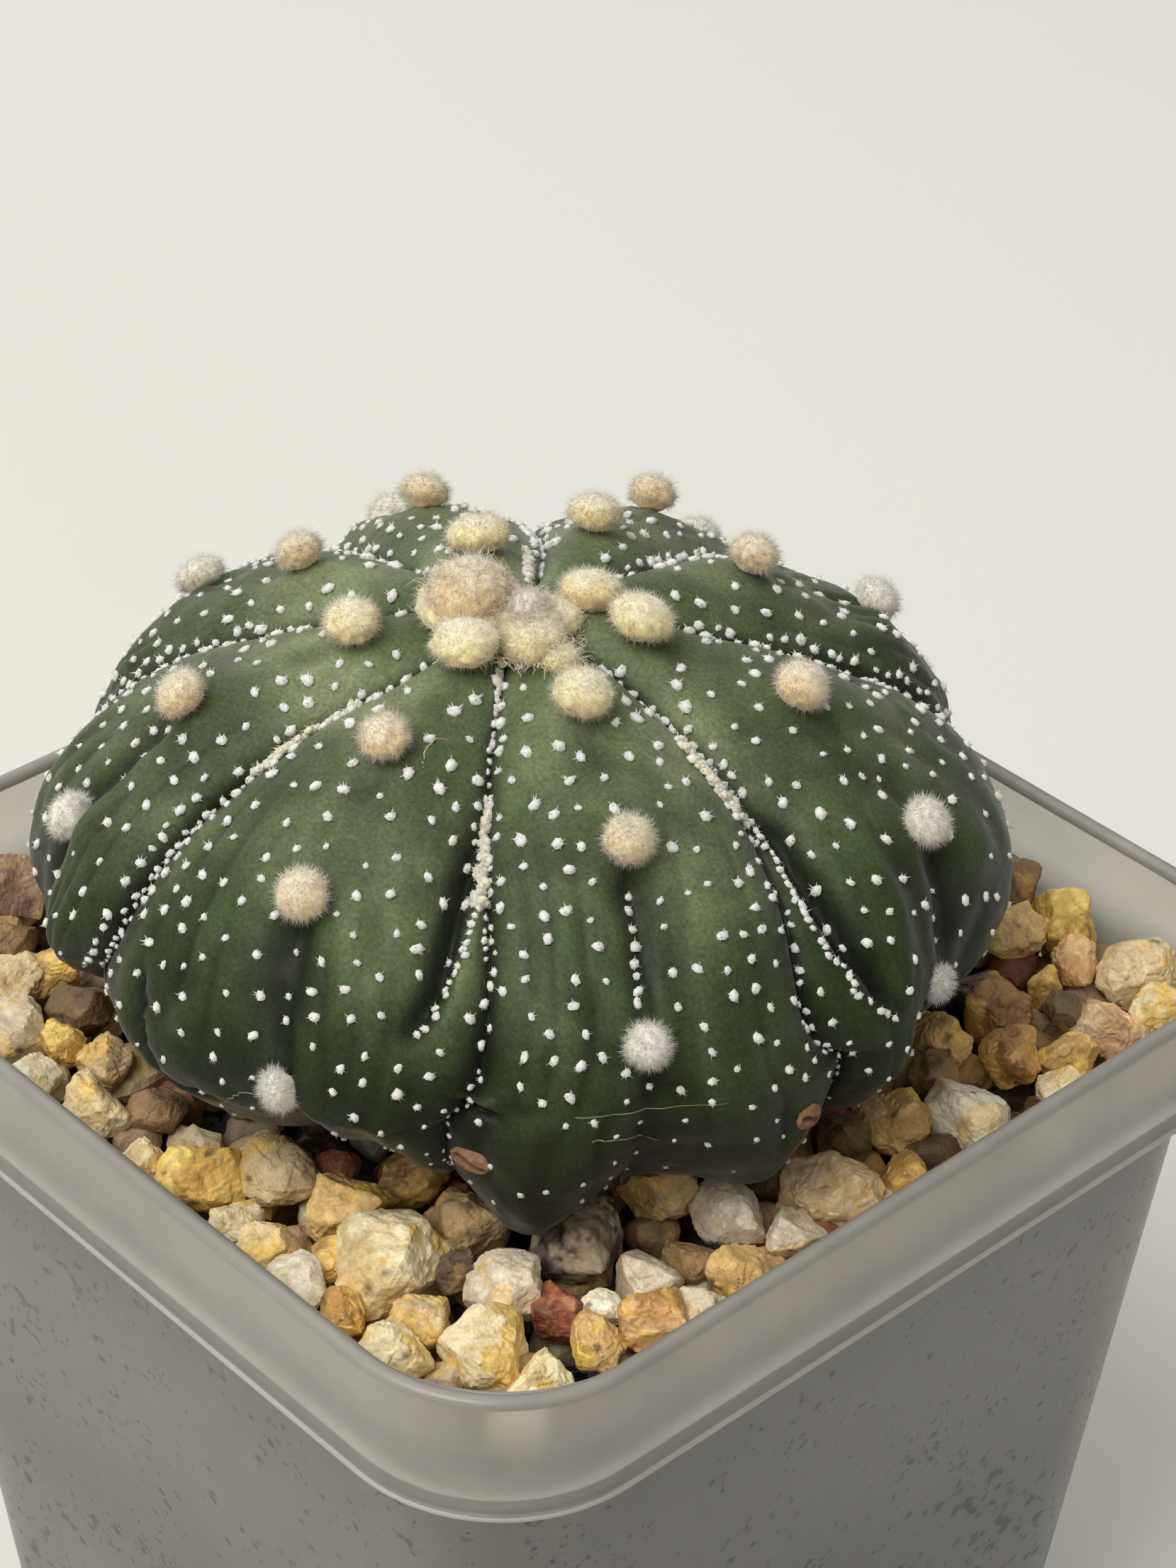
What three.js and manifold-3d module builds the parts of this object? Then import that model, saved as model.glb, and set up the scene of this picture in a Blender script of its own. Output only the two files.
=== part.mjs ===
// Potted fukuryu star cactus: a grey-green, eight-ribbed ball cactus with woolly areoles and
// white fleck tufts, bedded in angular gravel in a square frosted nursery pot.
// Millimetres, +Z up. The origin is the middle of the pot's base, on the surface it stands on.
import * as THREE from 'three';
import { ConvexGeometry } from 'three/addons/geometries/ConvexGeometry.js';
import { mergeVertices } from 'three/addons/utils/BufferGeometryUtils.js';
import Module from 'manifold-3d';

// Square pot
const POT_HEIGHT = 76;
const RIM_HALF = 37.5;
const RIM_CORNER = 11.6;
const WALL = 1.2;
const COLLAR_HEIGHT = 10.1;
const COLLAR_LEAN = 0.3;
const BODY_HALF_TOP = 35;
const BODY_TAPER = 0.0944;
const CORNER_TAPER = 0.03;
const LIP_ROUND = 0.35;
const CORNER_STEPS = 6;
const DRAIN_RADIUS = 2.5;
const DRAIN_PLACE = 17;
const BODY_TOP = POT_HEIGHT - COLLAR_HEIGHT;
const SHELF_TOP = BODY_TOP + WALL;

// Running gap between pieces that touch in the real thing
const GAP = 0.3;

// Cactus body: upper and lower halves of a squashed ball, measured from its widest ring
const CACTUS_X = -0.2;
const CACTUS_Y = -1.1;
const CACTUS_RADIUS = 33.4;
const WIDEST_HEIGHT = 83;
const DOME_HEIGHT = 17.8;
const DOME_POWER = 1.064;
const BASE_DEPTH = 16;
// How squarely the underside tucks in, by azimuth: low is square and full, high is round and lean
const FOOT_POWERS = [
  [0, 0.95], [12, 1.2], [40, 1.35], [75, 1], [110, 0.95], [160, 0.95], [210, 1.05], [247, 1.25], [268, 1.15],
  [284, 1.15], [300, 1.45], [310, 0.9], [319, 0.72], [332, 1], [341, 0.98], [350, 0.75], [360, 0.95],
];

// Azimuths in degrees of the creases and the rib crests, going round anticlockwise, at four
// latitudes from the crown to the widest ring; a foot turn leads a crease aside below that
const KNOT_LATITUDES = [0, 30, 60, 90];
const CREASES_AND_RIBS = [
  { kind: 'crease', azimuth: [-3.5, 4.8, -3.8, -1] },
  { kind: 'rib', azimuth: [18, 30, 23, 10], areoles: [14.3, 34.2, 57.3, 82] },
  { kind: 'crease', azimuth: [58, 59.5, 64, 64] },
  { kind: 'rib', azimuth: [74, 79.5, 80.7, 82], areoles: [32.7, 59, 83] },
  { kind: 'crease', azimuth: [84, 100, 101, 100] },
  { kind: 'rib', azimuth: [118, 116.3, 114.5, 113], areoles: [23, 43, 67] },
  { kind: 'crease', azimuth: [124, 134, 138, 137] },
  { kind: 'rib', azimuth: [165, 158.5, 157.5, 157], areoles: [14.9, 40, 64] },
  { kind: 'crease', azimuth: [192, 175, 169, 170] },
  { kind: 'rib', azimuth: [200, 196.5, 192, 190], areoles: [32.3, 56, 80] },
  { kind: 'crease', azimuth: [209, 213, 210.5, 213] },
  { kind: 'rib', azimuth: [242, 239.5, 243.5, 247], areoles: [20.7, 41.8, 65.7, 90] },
  { kind: 'crease', azimuth: [272, 258.5, 259, 257], footTurn: -9 },
  { kind: 'rib', azimuth: [291, 285, 289, 292], areoles: [13.1, 29.1, 51.1, 83.7] },
  { kind: 'crease', azimuth: [302, 309.8, 313.8, 309.5] },
  { kind: 'rib', azimuth: [337, 336, 334, 331.5], areoles: [20.1, 40.3, 68.9] },
];
// The youngest areole stands beside the crown, between the second rib line and its crease
const YOUNGEST_AREOLE = { column: 1.64, latitude: 8 };
const STEPS_PER_HALF_RIB = 5;
const LATITUDES = [3, 8, 14, 22, 31, 41, 51, 61, 71, 81, 92, 105, 118, 131, 144, 157, 169];
const CREASE_SHARPNESS = 0.9;
// Depths in millimetres against latitude in degrees, 0 at the crown and 90 at the widest ring
const CREASE_DEPTH = [[0, 0.2], [10, 1.1], [25, 2], [45, 2.6], [70, 2.8], [90, 3], [130, 2.8], [155, 2], [180, 0.2]];
const FURROW_DEPTH = [[0, 0], [35, 0], [60, 0.7], [90, 1.5], [130, 1.8], [155, 1.2], [180, 0.1]];
const FURROW_WIDTH = 0.3;

// Taproot in its hole in the soil
const ROOT_TOP_RADIUS = 8;
const ROOT_NECK_RADIUS = 5.5;
const ROOT_TIP_RADIUS = 1.2;
const ROOT_TOP = 69;
const ROOT_NECK = 63;
const ROOT_TIP = 40;

// Woolly areoles, flecks, crown wool and flower buds
const AREOLE_WIDTH = 3.8;
const AREOLE_RISE = 1.9;
const AREOLE_SUNK = 1.6;
const FLECK_WIDTH = 1.9;
const FLECK_RISE = 0.5;
const FLECK_SUNK = 0.8;
const FLECK_ROWS = [
  { fromCrease: 0.1, spacing: 5.8, start: 15 },
  { fromCrease: 0.4, spacing: 11, start: 22 },
  { fromCrease: 0.7, spacing: 11, start: 30 },
];
const FLECK_END = 112;
const FLECK_CLEARANCE = 3.2;
const LARGE_BUD = { x: -1.9, y: -4.3, z: 102.5, width: 5.4, height: 4.8 };
const SMALL_BUD = { x: 1.9, y: -2.7, z: 102.2, width: 2.6, height: 3 };
const WOOL_CUSHIONS = [
  { x: -2.2, y: -3.9, z: 101.2, width: 7.6, height: 3.6 },
  { x: 1.8, y: -2.6, z: 101.2, width: 5, height: 3 },
  { x: 3.2, y: -3.6, z: 101.1, width: 4.8, height: 3 },
  { x: 5.6, y: -3.3, z: 100.7, width: 2.8, height: 2 },
];

// Gravel bed: a levelled layer with angular stones standing out of it
const SOIL_TOP = 65.2;
const SOIL_BOTTOM = 1.6;
const BED_TOP = 69.5;
const STONE_HEIGHT = 70.3;
const STONE_POINTS = 9;
const STONE_SEED = 4100;
const LANDMARK_BURIED = 1.34;
const FILL_SEED = 77;
const FILL_TRIES = 2000;
const FILL_REACH = 34;
const FILL_KEEP_OUT = 21;
const FILL_SIZE_MIN = 5.4;
const FILL_SIZE_RANGE = 2.8;
const FILL_CLOSENESS = 0.38;
// The stones that show best in front of the plant: x, y and the length that shows
const LANDMARK_STONES = [
  [-32.5, -22, 7], [-27, -25, 4], [-22, -25, 4], [-22.5, -27.5, 4.2], [-19, -30.5, 5.8],
  [-18, -25.5, 4.2], [-15.5, -29, 3.5], [-13.5, -32.5, 3.5], [-12.5, -27.5, 4], [-8.5, -31.5, 5],
  [-5.5, -28.5, 3.8], [-2, -32.5, 3.2], [1.5, -30, 5.2], [4.5, -26.5, 5.6], [6.5, -23, 3],
  [10, -25.5, 5.8], [6.5, -31.5, 3.6], [9.5, -31.5, 4], [13.5, -32.5, 4.2], [13.5, -29, 3],
  [16.5, -27, 7.6], [18, -32, 3], [21.5, -28.5, 3.5], [16.5, -20.5, 5.4], [19.5, -24, 3.4],
  [22.5, -22.5, 5.2], [22.5, -32, 4.8], [26, -27, 5.6], [26, -21.5, 4], [30, -26.5, 4],
  [21.5, -15.5, 6.8], [19.5, -10.5, 4], [22.5, -9.5, 4.8], [27.5, -15.5, 4.8], [28.5, -12, 3.4],
  [27.5, -19, 3], [30, -21.5, 4.2], [31, -18, 4.6], [32, -15, 3.8], [26.5, -7, 5.2],
  [31.5, -11, 3.8], [29.5, -1, 6.4], [31, -5.5, 3.4], [26.5, 3.5, 4], [27, 7.5, 5.4],
  [31.5, 4, 3.6], [30.5, 11.5, 5.8], [26, 13, 4], [23.5, 15.5, 4.2], [24, 21, 5.6],
  [28, 18.5, 4.6], [19, 28.5, 4.8], [24, 26, 3.2], [14.5, 32.5, 5], [20, 32.5, 5.2],
  [23.5, 29.5, 3.6], [27, 32.5, 5.8], [30, 26, 4.6], [31.5, 29.5, 4.4], [30.5, 21, 3.8],
  [32.5, 18, 4.2], [27, 24.5, 3],
];

const wasm = await Module();
wasm.setup();

// Repeatable random numbers from 0 to 1
function seededRandom(seed) {
  let state = seed >>> 0;
  return () => {
    state = (state + 0x6d2b79f5) >>> 0;
    let mixed = Math.imul(state ^ (state >>> 15), state | 1);
    mixed = (mixed + Math.imul(mixed ^ (mixed >>> 7), mixed | 61)) ^ mixed;
    return ((mixed ^ (mixed >>> 14)) >>> 0) / 4294967296;
  };
}

// Closed three.js geometry to a solid that can be joined and cut
function toSolid(geometry) {
  const bare = geometry.clone();
  bare.deleteAttribute('normal');
  bare.deleteAttribute('uv');
  const merged = mergeVertices(bare, 1e-4);
  return new wasm.Manifold(new wasm.Mesh({
    numProp: 3,
    vertProperties: new Float32Array(merged.attributes.position.array),
    triVerts: new Uint32Array(merged.index.array),
  }));
}

function toGeometry(solid) {
  const mesh = solid.getMesh();
  const geometry = new THREE.BufferGeometry();
  geometry.setAttribute('position', new THREE.BufferAttribute(mesh.vertProperties, 3));
  geometry.setIndex(new THREE.BufferAttribute(mesh.triVerts, 1));
  geometry.computeVertexNormals();
  return geometry;
}

// Joins neighbours in pairs, which keeps every step small
function joinAll(solids) {
  let level = solids;
  while (level.length > 1) {
    const next = [];
    for (let i = 0; i + 1 < level.length; i += 2) {
      next.push(level[i].add(level[i + 1]));
    }
    if (level.length % 2) {
      next.push(level[level.length - 1]);
    }
    level = next;
  }
  return level[0];
}

// Skin over a stack of closed rings, with the first and last ring closed to a middle point
function loft(rings, firstMiddle, lastMiddle) {
  const count = rings[0].length;
  const points = [...rings.flat(), firstMiddle, lastMiddle];
  const index = [];
  for (let i = 0; i + 1 < rings.length; i += 1) {
    for (let j = 0; j < count; j += 1) {
      const here = i * count + j;
      const beside = i * count + (j + 1) % count;
      index.push(here, beside, beside + count, here, beside + count, here + count);
    }
  }
  const last = (rings.length - 1) * count;
  for (let j = 0; j < count; j += 1) {
    const next = (j + 1) % count;
    index.push(next, j, points.length - 2, last + j, last + next, points.length - 1);
  }
  const geometry = new THREE.BufferGeometry().setFromPoints(points);
  geometry.setIndex(index);
  return geometry;
}

function roundedSquare(half, corner, height) {
  const ring = [];
  for (let quarter = 0; quarter < 4; quarter += 1) {
    for (let step = 0; step <= CORNER_STEPS; step += 1) {
      const angle = (quarter + step / CORNER_STEPS) * Math.PI / 2;
      const middle = (quarter + 0.5) * Math.PI / 2;
      const reach = (half - corner) * Math.SQRT2;
      ring.push(new THREE.Vector3(
        reach * Math.cos(middle) + corner * Math.cos(angle),
        reach * Math.sin(middle) + corner * Math.sin(angle),
        height,
      ));
    }
  }
  return ring;
}

// Corner radius that keeps the wall even, drawn in a little towards the base
function cornerAt(half, height) {
  const fall = Math.max(BODY_TOP - height, 0);
  return RIM_CORNER + half - RIM_HALF + fall * (BODY_TAPER - CORNER_TAPER);
}

// A square section for each [half width, height]
function squareLoft(sections) {
  const rings = sections.map(([half, height]) => roundedSquare(half, cornerAt(half, height), height));
  const bottom = new THREE.Vector3(0, 0, sections[0][1]);
  const top = new THREE.Vector3(0, 0, sections[sections.length - 1][1]);
  return loft(rings, bottom, top);
}

function potHalf(height) {
  return BODY_HALF_TOP - (BODY_TOP - height) * BODY_TAPER;
}

function buildPot() {
  const shell = toSolid(squareLoft([
    [potHalf(0) - 0.6, 0],
    [potHalf(0.6), 0.6],
    [BODY_HALF_TOP, BODY_TOP - 0.5],
    [BODY_HALF_TOP + 0.5, BODY_TOP],
    [RIM_HALF - COLLAR_LEAN - 0.4, BODY_TOP],
    [RIM_HALF - COLLAR_LEAN, BODY_TOP + 0.4],
    [RIM_HALF, POT_HEIGHT - LIP_ROUND],
    [RIM_HALF - LIP_ROUND, POT_HEIGHT],
    [RIM_HALF - WALL + LIP_ROUND, POT_HEIGHT],
    [RIM_HALF - WALL, POT_HEIGHT - LIP_ROUND],
    [RIM_HALF - WALL - COLLAR_LEAN / 2, SHELF_TOP],
    [BODY_HALF_TOP - WALL, SHELF_TOP],
    [potHalf(WALL) - WALL, WALL],
  ]));
  const drain = new THREE.CylinderGeometry(DRAIN_RADIUS, DRAIN_RADIUS, WALL * 4, 16);
  drain.rotateX(Math.PI / 2);
  let pot = shell;
  for (const [x, y] of [[1, 1], [-1, 1], [-1, -1], [1, -1]]) {
    const place = drain.clone().translate(x * DRAIN_PLACE, y * DRAIN_PLACE, WALL / 2);
    pot = pot.subtract(toSolid(place));
  }
  return toGeometry(pot);
}

function blend(table, value) {
  for (let i = 0; i + 1 < table.length; i += 1) {
    const [start, from] = table[i];
    const [end, to] = table[i + 1];
    if (value <= end) {
      const part = THREE.MathUtils.smoothstep(value, start, end);
      return from + (to - from) * part;
    }
  }
  return table[table.length - 1][1];
}

// Curve through the azimuths at the four latitudes, with the turn at the foot
function azimuthAt({ azimuth, footTurn = 0 }, latitude) {
  const place = Math.min(latitude, 90);
  let total = footTurn * THREE.MathUtils.smoothstep(latitude, 90, 125);
  KNOT_LATITUDES.forEach((knot, i) => {
    const others = KNOT_LATITUDES.filter((other) => other !== knot);
    total += azimuth[i] * others.reduce((share, other) => share * (place - other) / (knot - other), 1);
  });
  return total;
}

// Outline of the plain body at an azimuth: reach from its axis, and height
function outline(azimuth, latitude) {
  const angle = latitude * Math.PI / 180;
  const sine = Math.abs(Math.sin(angle));
  const cosine = Math.abs(Math.cos(angle));
  if (latitude <= 90) {
    return [CACTUS_RADIUS * sine ** DOME_POWER, WIDEST_HEIGHT + DOME_HEIGHT * cosine ** DOME_POWER];
  }
  const power = blend(FOOT_POWERS, THREE.MathUtils.euclideanModulo(azimuth, 360));
  return [CACTUS_RADIUS * sine ** power, WIDEST_HEIGHT - BASE_DEPTH * cosine ** power];
}

function outlineNormal(azimuth, latitude) {
  const step = 0.2;
  const [reachBefore, heightBefore] = outline(azimuth, Math.max(latitude - step, 0));
  const [reachAfter, heightAfter] = outline(azimuth, Math.min(latitude + step, 179.9));
  const along = new THREE.Vector2(reachAfter - reachBefore, heightAfter - heightBefore).normalize();
  return [-along.y, along.x];
}

// Ribs are round-backed and meet in a sharp crease
function creaseShape(fromCrease) {
  const flank = 1 - Math.sqrt(1 - (CREASE_SHARPNESS * (1 - fromCrease)) ** 2);
  return flank / (1 - Math.sqrt(1 - CREASE_SHARPNESS ** 2));
}

// A column counts creases and ribs anticlockwise: even numbers are creases, odd ones rib crests
function cactusFrame(column, latitude, lift = 0) {
  const count = CREASES_AND_RIBS.length;
  const first = Math.floor(column);
  const part = column - first;
  const from = azimuthAt(CREASES_AND_RIBS[first % count], latitude);
  let to = azimuthAt(CREASES_AND_RIBS[(first + 1) % count], latitude);
  if (to < from) {
    to += 360;
  }
  const azimuth = from + (to - from) * part;
  const angle = azimuth * Math.PI / 180;
  const fromCrease = first % 2 === 0 ? part : 1 - part;
  const furrow = Math.exp(-(((1 - fromCrease) / FURROW_WIDTH) ** 2));
  const depth = blend(CREASE_DEPTH, latitude) * creaseShape(fromCrease) + blend(FURROW_DEPTH, latitude) * furrow;
  const [reach, height] = outline(azimuth, latitude);
  const [outward, upward] = outlineNormal(azimuth, latitude);
  const radial = reach + outward * (lift - depth);
  return {
    point: new THREE.Vector3(
      CACTUS_X + radial * Math.cos(angle),
      CACTUS_Y + radial * Math.sin(angle),
      height + upward * (lift - depth),
    ),
    normal: new THREE.Vector3(outward * Math.cos(angle), outward * Math.sin(angle), upward),
  };
}

function cactusSkin(lift, steps) {
  const columns = CREASES_AND_RIBS.length * steps;
  const rings = [...LATITUDES].reverse().map((latitude) => {
    const ring = [];
    for (let i = 0; i < columns; i += 1) {
      ring.push(cactusFrame(i / steps, latitude, lift).point);
    }
    return ring;
  });
  const bottom = new THREE.Vector3(CACTUS_X, CACTUS_Y, WIDEST_HEIGHT - BASE_DEPTH - lift);
  const top = new THREE.Vector3(CACTUS_X, CACTUS_Y, WIDEST_HEIGHT + DOME_HEIGHT + lift);
  return loft(rings, bottom, top);
}

function taproot(lift) {
  const profile = [
    [0, ROOT_TIP - 1.5 * lift],
    [ROOT_TIP_RADIUS + lift, ROOT_TIP - lift],
    [ROOT_NECK_RADIUS + lift, ROOT_NECK],
    [ROOT_TOP_RADIUS + lift, ROOT_TOP],
    [0, ROOT_TOP + 0.5],
  ].map(([radius, height]) => new THREE.Vector2(radius, height));
  const root = new THREE.LatheGeometry(profile, 16);
  root.rotateX(Math.PI / 2);
  root.translate(CACTUS_X, CACTUS_Y, 0);
  return root;
}

function areoleFrames() {
  const frames = [];
  CREASES_AND_RIBS.forEach(({ areoles = [] }, column) => {
    for (const latitude of areoles) {
      frames.push(cactusFrame(column, latitude));
    }
  });
  frames.push(cactusFrame(YOUNGEST_AREOLE.column, YOUNGEST_AREOLE.latitude));
  return frames;
}

// Turns a shape made round +Z to stand along a normal at a point
function standOn({ point, normal }, geometry) {
  const turn = new THREE.Quaternion().setFromUnitVectors(new THREE.Vector3(0, 0, 1), normal);
  geometry.applyQuaternion(turn);
  geometry.translate(point.x, point.y, point.z);
  return geometry;
}

// Woolly pad with its root sunk in the skin
function areolePad(frame, lift) {
  const half = AREOLE_WIDTH / 2 + lift;
  const profile = [
    [0, -AREOLE_SUNK - lift],
    [half * 0.6, -AREOLE_SUNK - lift],
    [half, AREOLE_RISE * 0.35],
    [half * 0.72, AREOLE_RISE * 0.8 + lift * 0.7],
    [0, AREOLE_RISE + lift],
  ].map(([radius, height]) => new THREE.Vector2(radius, height));
  return standOn(frame, new THREE.LatheGeometry(profile, 8).rotateX(Math.PI / 2));
}

// Pointed tuft with its root sunk in the skin
function fleckTuft(frame) {
  const tall = FLECK_RISE + FLECK_SUNK;
  const tuft = new THREE.ConeGeometry(FLECK_WIDTH / 2, tall, 3).rotateX(Math.PI / 2);
  tuft.translate(0, 0, tall / 2 - FLECK_SUNK);
  return standOn(frame, tuft);
}

function fleckFrames(areoles) {
  const random = seededRandom(19);
  const frames = [];
  for (let half = 0; half < CREASES_AND_RIBS.length; half += 1) {
    for (const { fromCrease, spacing, start } of FLECK_ROWS) {
      const part = half % 2 === 0 ? fromCrease : 1 - fromCrease;
      let latitude = start + random() * 4;
      while (latitude < FLECK_END) {
        const drift = (random() - 0.5) * 0.06;
        const frame = cactusFrame(half + part + drift, latitude);
        const clear = areoles.every((areole) => areole.point.distanceTo(frame.point) > FLECK_CLEARANCE);
        if (clear) {
          frames.push(frame);
        }
        latitude += (spacing / CACTUS_RADIUS) * (180 / Math.PI) * (0.8 + 0.5 * random());
      }
    }
  }
  return frames;
}

function buildCactus(areoles) {
  const solids = [toSolid(cactusSkin(0, STEPS_PER_HALF_RIB)), toSolid(taproot(0))];
  for (const areole of areoles) {
    solids.push(toSolid(areolePad(areole, 0)));
  }
  for (const fleck of fleckFrames(areoles)) {
    solids.push(toSolid(fleckTuft(fleck)));
  }
  return toGeometry(joinAll(solids));
}

function cushion({ x, y, z, width, height }, lift, detail) {
  const ball = new THREE.IcosahedronGeometry(1, detail);
  ball.scale(width / 2 + lift, width / 2 + lift, height / 2 + lift);
  ball.translate(x, y, z);
  return ball;
}

function buildBud(bud) {
  const ball = toSolid(cushion(bud, 0, 2));
  return ball.subtract(toSolid(cactusSkin(GAP + 0.15, 1)));
}

// Wool round the buds, clear of the skin, the young areoles and the buds themselves
function buildCrownWool(areoles) {
  let wool = joinAll(WOOL_CUSHIONS.map((each) => toSolid(cushion(each, 0, 1))));
  wool = wool.subtract(toSolid(cactusSkin(GAP + 0.15, 1)));
  for (const areole of areoles) {
    wool = wool.subtract(toSolid(areolePad(areole, GAP)));
  }
  for (const bud of [LARGE_BUD, SMALL_BUD]) {
    wool = wool.subtract(toSolid(cushion(bud, GAP + 0.15, 1)));
  }
  return wool;
}

// Angular stone: the hull of a few points spread over an uneven ball
function stone(x, y, length, index) {
  const random = seededRandom(STONE_SEED + index);
  const breadth = length * (0.72 + 0.2 * random());
  const height = length * (0.7 + 0.2 * random());
  const yaw = random() * Math.PI * 2;
  const tilt = (random() - 0.5) * 0.5;
  const lift = (random() - 0.5) * 0.9;
  const points = [];
  for (let i = 0; i < STONE_POINTS; i += 1) {
    const level = 1 - 2 * (i + 0.5) / STONE_POINTS;
    const around = i * 2.399963 + (random() - 0.5) * 0.9;
    const flat = Math.sqrt(1 - level * level);
    const reach = 0.92 + 0.2 * random();
    points.push(new THREE.Vector3(
      reach * flat * Math.cos(around) * length / 2,
      reach * flat * Math.sin(around) * breadth / 2,
      reach * level * height / 2,
    ));
  }
  const shape = new ConvexGeometry(points);
  shape.rotateX(tilt);
  shape.rotateZ(yaw);
  shape.translate(x, y, STONE_HEIGHT + lift);
  return shape;
}

// Landmark stones first, then smaller ones thrown in wherever there is room
function stonePlaces() {
  const random = seededRandom(FILL_SEED);
  const places = LANDMARK_STONES.map(([x, y, length]) => ({ x, y, length: length * LANDMARK_BURIED }));
  for (let attempt = 0; attempt < FILL_TRIES; attempt += 1) {
    const x = (random() * 2 - 1) * FILL_REACH;
    const y = (random() * 2 - 1) * FILL_REACH;
    const length = FILL_SIZE_MIN + FILL_SIZE_RANGE * random() * random();
    const underPlant = Math.hypot(x - CACTUS_X, y - CACTUS_Y) < FILL_KEEP_OUT;
    const inCorner = Math.abs(x) + Math.abs(y) > 2 * FILL_REACH - 4;
    const crowded = places.some((other) => {
      const near = (other.length + length) * FILL_CLOSENESS;
      return Math.hypot(other.x - x, other.y - y) < near;
    });
    if (!underPlant && !inCorner && !crowded) {
      places.push({ x, y, length });
    }
  }
  return places;
}

function buildGravel() {
  const bed = toSolid(squareLoft([
    [potHalf(SOIL_TOP + GAP) - WALL - GAP, SOIL_TOP + GAP],
    [potHalf(BODY_TOP) - WALL - GAP, SHELF_TOP + GAP / 2],
    [RIM_HALF - WALL - COLLAR_LEAN / 2 - GAP, SHELF_TOP + GAP],
    [RIM_HALF - WALL - COLLAR_LEAN / 2 - GAP, BED_TOP],
  ]));
  const stones = stonePlaces().map(({ x, y, length }, index) => toSolid(stone(x, y, length, index)));
  const room = toSolid(squareLoft([
    [RIM_HALF - WALL - COLLAR_LEAN / 2 - GAP, SHELF_TOP + GAP],
    [RIM_HALF - WALL - COLLAR_LEAN / 2 - GAP, POT_HEIGHT],
  ]));
  const heap = joinAll(stones).intersect(room);
  const clearance = toSolid(cactusSkin(2 * GAP, 3)).add(toSolid(taproot(GAP)));
  return bed.add(heap).subtract(clearance);
}

// Tapered block of potting mix with a plain hole for the taproot
function buildSoil() {
  const block = toSolid(squareLoft([
    [potHalf(SOIL_BOTTOM) - WALL - GAP, SOIL_BOTTOM],
    [potHalf(SOIL_TOP) - WALL - GAP, SOIL_TOP],
  ]));
  return toGeometry(block.subtract(toSolid(taproot(GAP))));
}

const FINISHES = {
  pot: { color: 0xb9b6ac, roughness: 0.45 },
  soil: { color: 0x6d6a64, roughness: 0.95 },
  gravel: { color: 0xc3a36b, roughness: 0.85 },
  cactus: { color: 0x4f6146, roughness: 0.6 },
  crown_wool: { color: 0xeadcb4, roughness: 1 },
  flower_bud_large: { color: 0xcaa888, roughness: 1 },
  flower_bud_small: { color: 0xe6d3c4, roughness: 1 },
};

// The largest piece of a solid, without scraps that a cut has left loose
function mainPiece(solid) {
  const pieces = solid.decompose();
  pieces.sort((a, b) => b.volume() - a.volume());
  return toGeometry(pieces[0]);
}

function addPiece(group, name, geometry) {
  const material = new THREE.MeshStandardMaterial({ ...FINISHES[name], metalness: 0 });
  const mesh = new THREE.Mesh(geometry, material);
  mesh.name = name;
  group.add(mesh);
}

const areoles = areoleFrames();
const plant = new THREE.Group();
addPiece(plant, 'pot', buildPot());
addPiece(plant, 'soil', buildSoil());
addPiece(plant, 'gravel', mainPiece(buildGravel()));
addPiece(plant, 'cactus', buildCactus(areoles));
addPiece(plant, 'crown_wool', mainPiece(buildCrownWool(areoles)));
addPiece(plant, 'flower_bud_large', toGeometry(buildBud(LARGE_BUD)));
addPiece(plant, 'flower_bud_small', toGeometry(buildBud(SMALL_BUD)));

export default plant;
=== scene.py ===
# Looks of a potted fukuryu star cactus: finished surfaces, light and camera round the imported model.
# Lengths are millimetres until a mesh is made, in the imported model's own frame: +Z up, the origin in
# the middle of the pot's base, and the camera over the near corner between the +X and -Y sides.
import itertools
import math

import bmesh
import bpy
import numpy as np
from mathutils import Matrix, Vector


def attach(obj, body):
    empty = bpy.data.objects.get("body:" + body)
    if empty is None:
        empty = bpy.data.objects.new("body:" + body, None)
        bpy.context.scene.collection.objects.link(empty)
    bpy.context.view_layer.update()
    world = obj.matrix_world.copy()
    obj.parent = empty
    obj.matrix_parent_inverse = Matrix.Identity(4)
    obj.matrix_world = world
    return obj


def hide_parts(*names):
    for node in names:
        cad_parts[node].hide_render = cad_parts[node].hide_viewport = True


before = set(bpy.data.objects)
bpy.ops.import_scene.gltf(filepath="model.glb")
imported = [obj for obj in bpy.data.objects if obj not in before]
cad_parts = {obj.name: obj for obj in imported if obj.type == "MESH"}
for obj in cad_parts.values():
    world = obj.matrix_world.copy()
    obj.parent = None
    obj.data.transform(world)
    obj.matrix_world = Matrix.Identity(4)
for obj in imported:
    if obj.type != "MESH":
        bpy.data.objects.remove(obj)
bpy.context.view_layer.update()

MM = 0.001
WORD = 0xFFFFFFFF


def tone(red, green, blue):
    """Linear colour of the 0 to 255 values that a screen shows."""
    screen = np.array([red, green, blue]) / 255
    return np.where(screen <= 0.04045, screen / 12.92, ((screen + 0.055) / 1.055) ** 2.4)


# Camera, solved from the pot's rim: place, aim in degrees, and lens for a sensor of this height
CAMERA_PLACE = (159.99, -145.95, 237.02)
CAMERA_AZIMUTH = 46.73
CAMERA_ELEVATION = 34.77
CAMERA_ROLL = 1.35
CAMERA_LENS = 90.63
SENSOR_HEIGHT = 36

# Light: the sky's brightest direction, how far it faces away where the sky is darkest, its weakest
# and strongest light, and its colour
SKY_BRIGHTEST = (-0.14, -0.3, 0.94)
SKY_FACING = -0.1
SKY_LOW = 0.08
SKY_HIGH = 0.75
SKY_COLOUR = (1, 0.985, 0.955)
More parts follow.
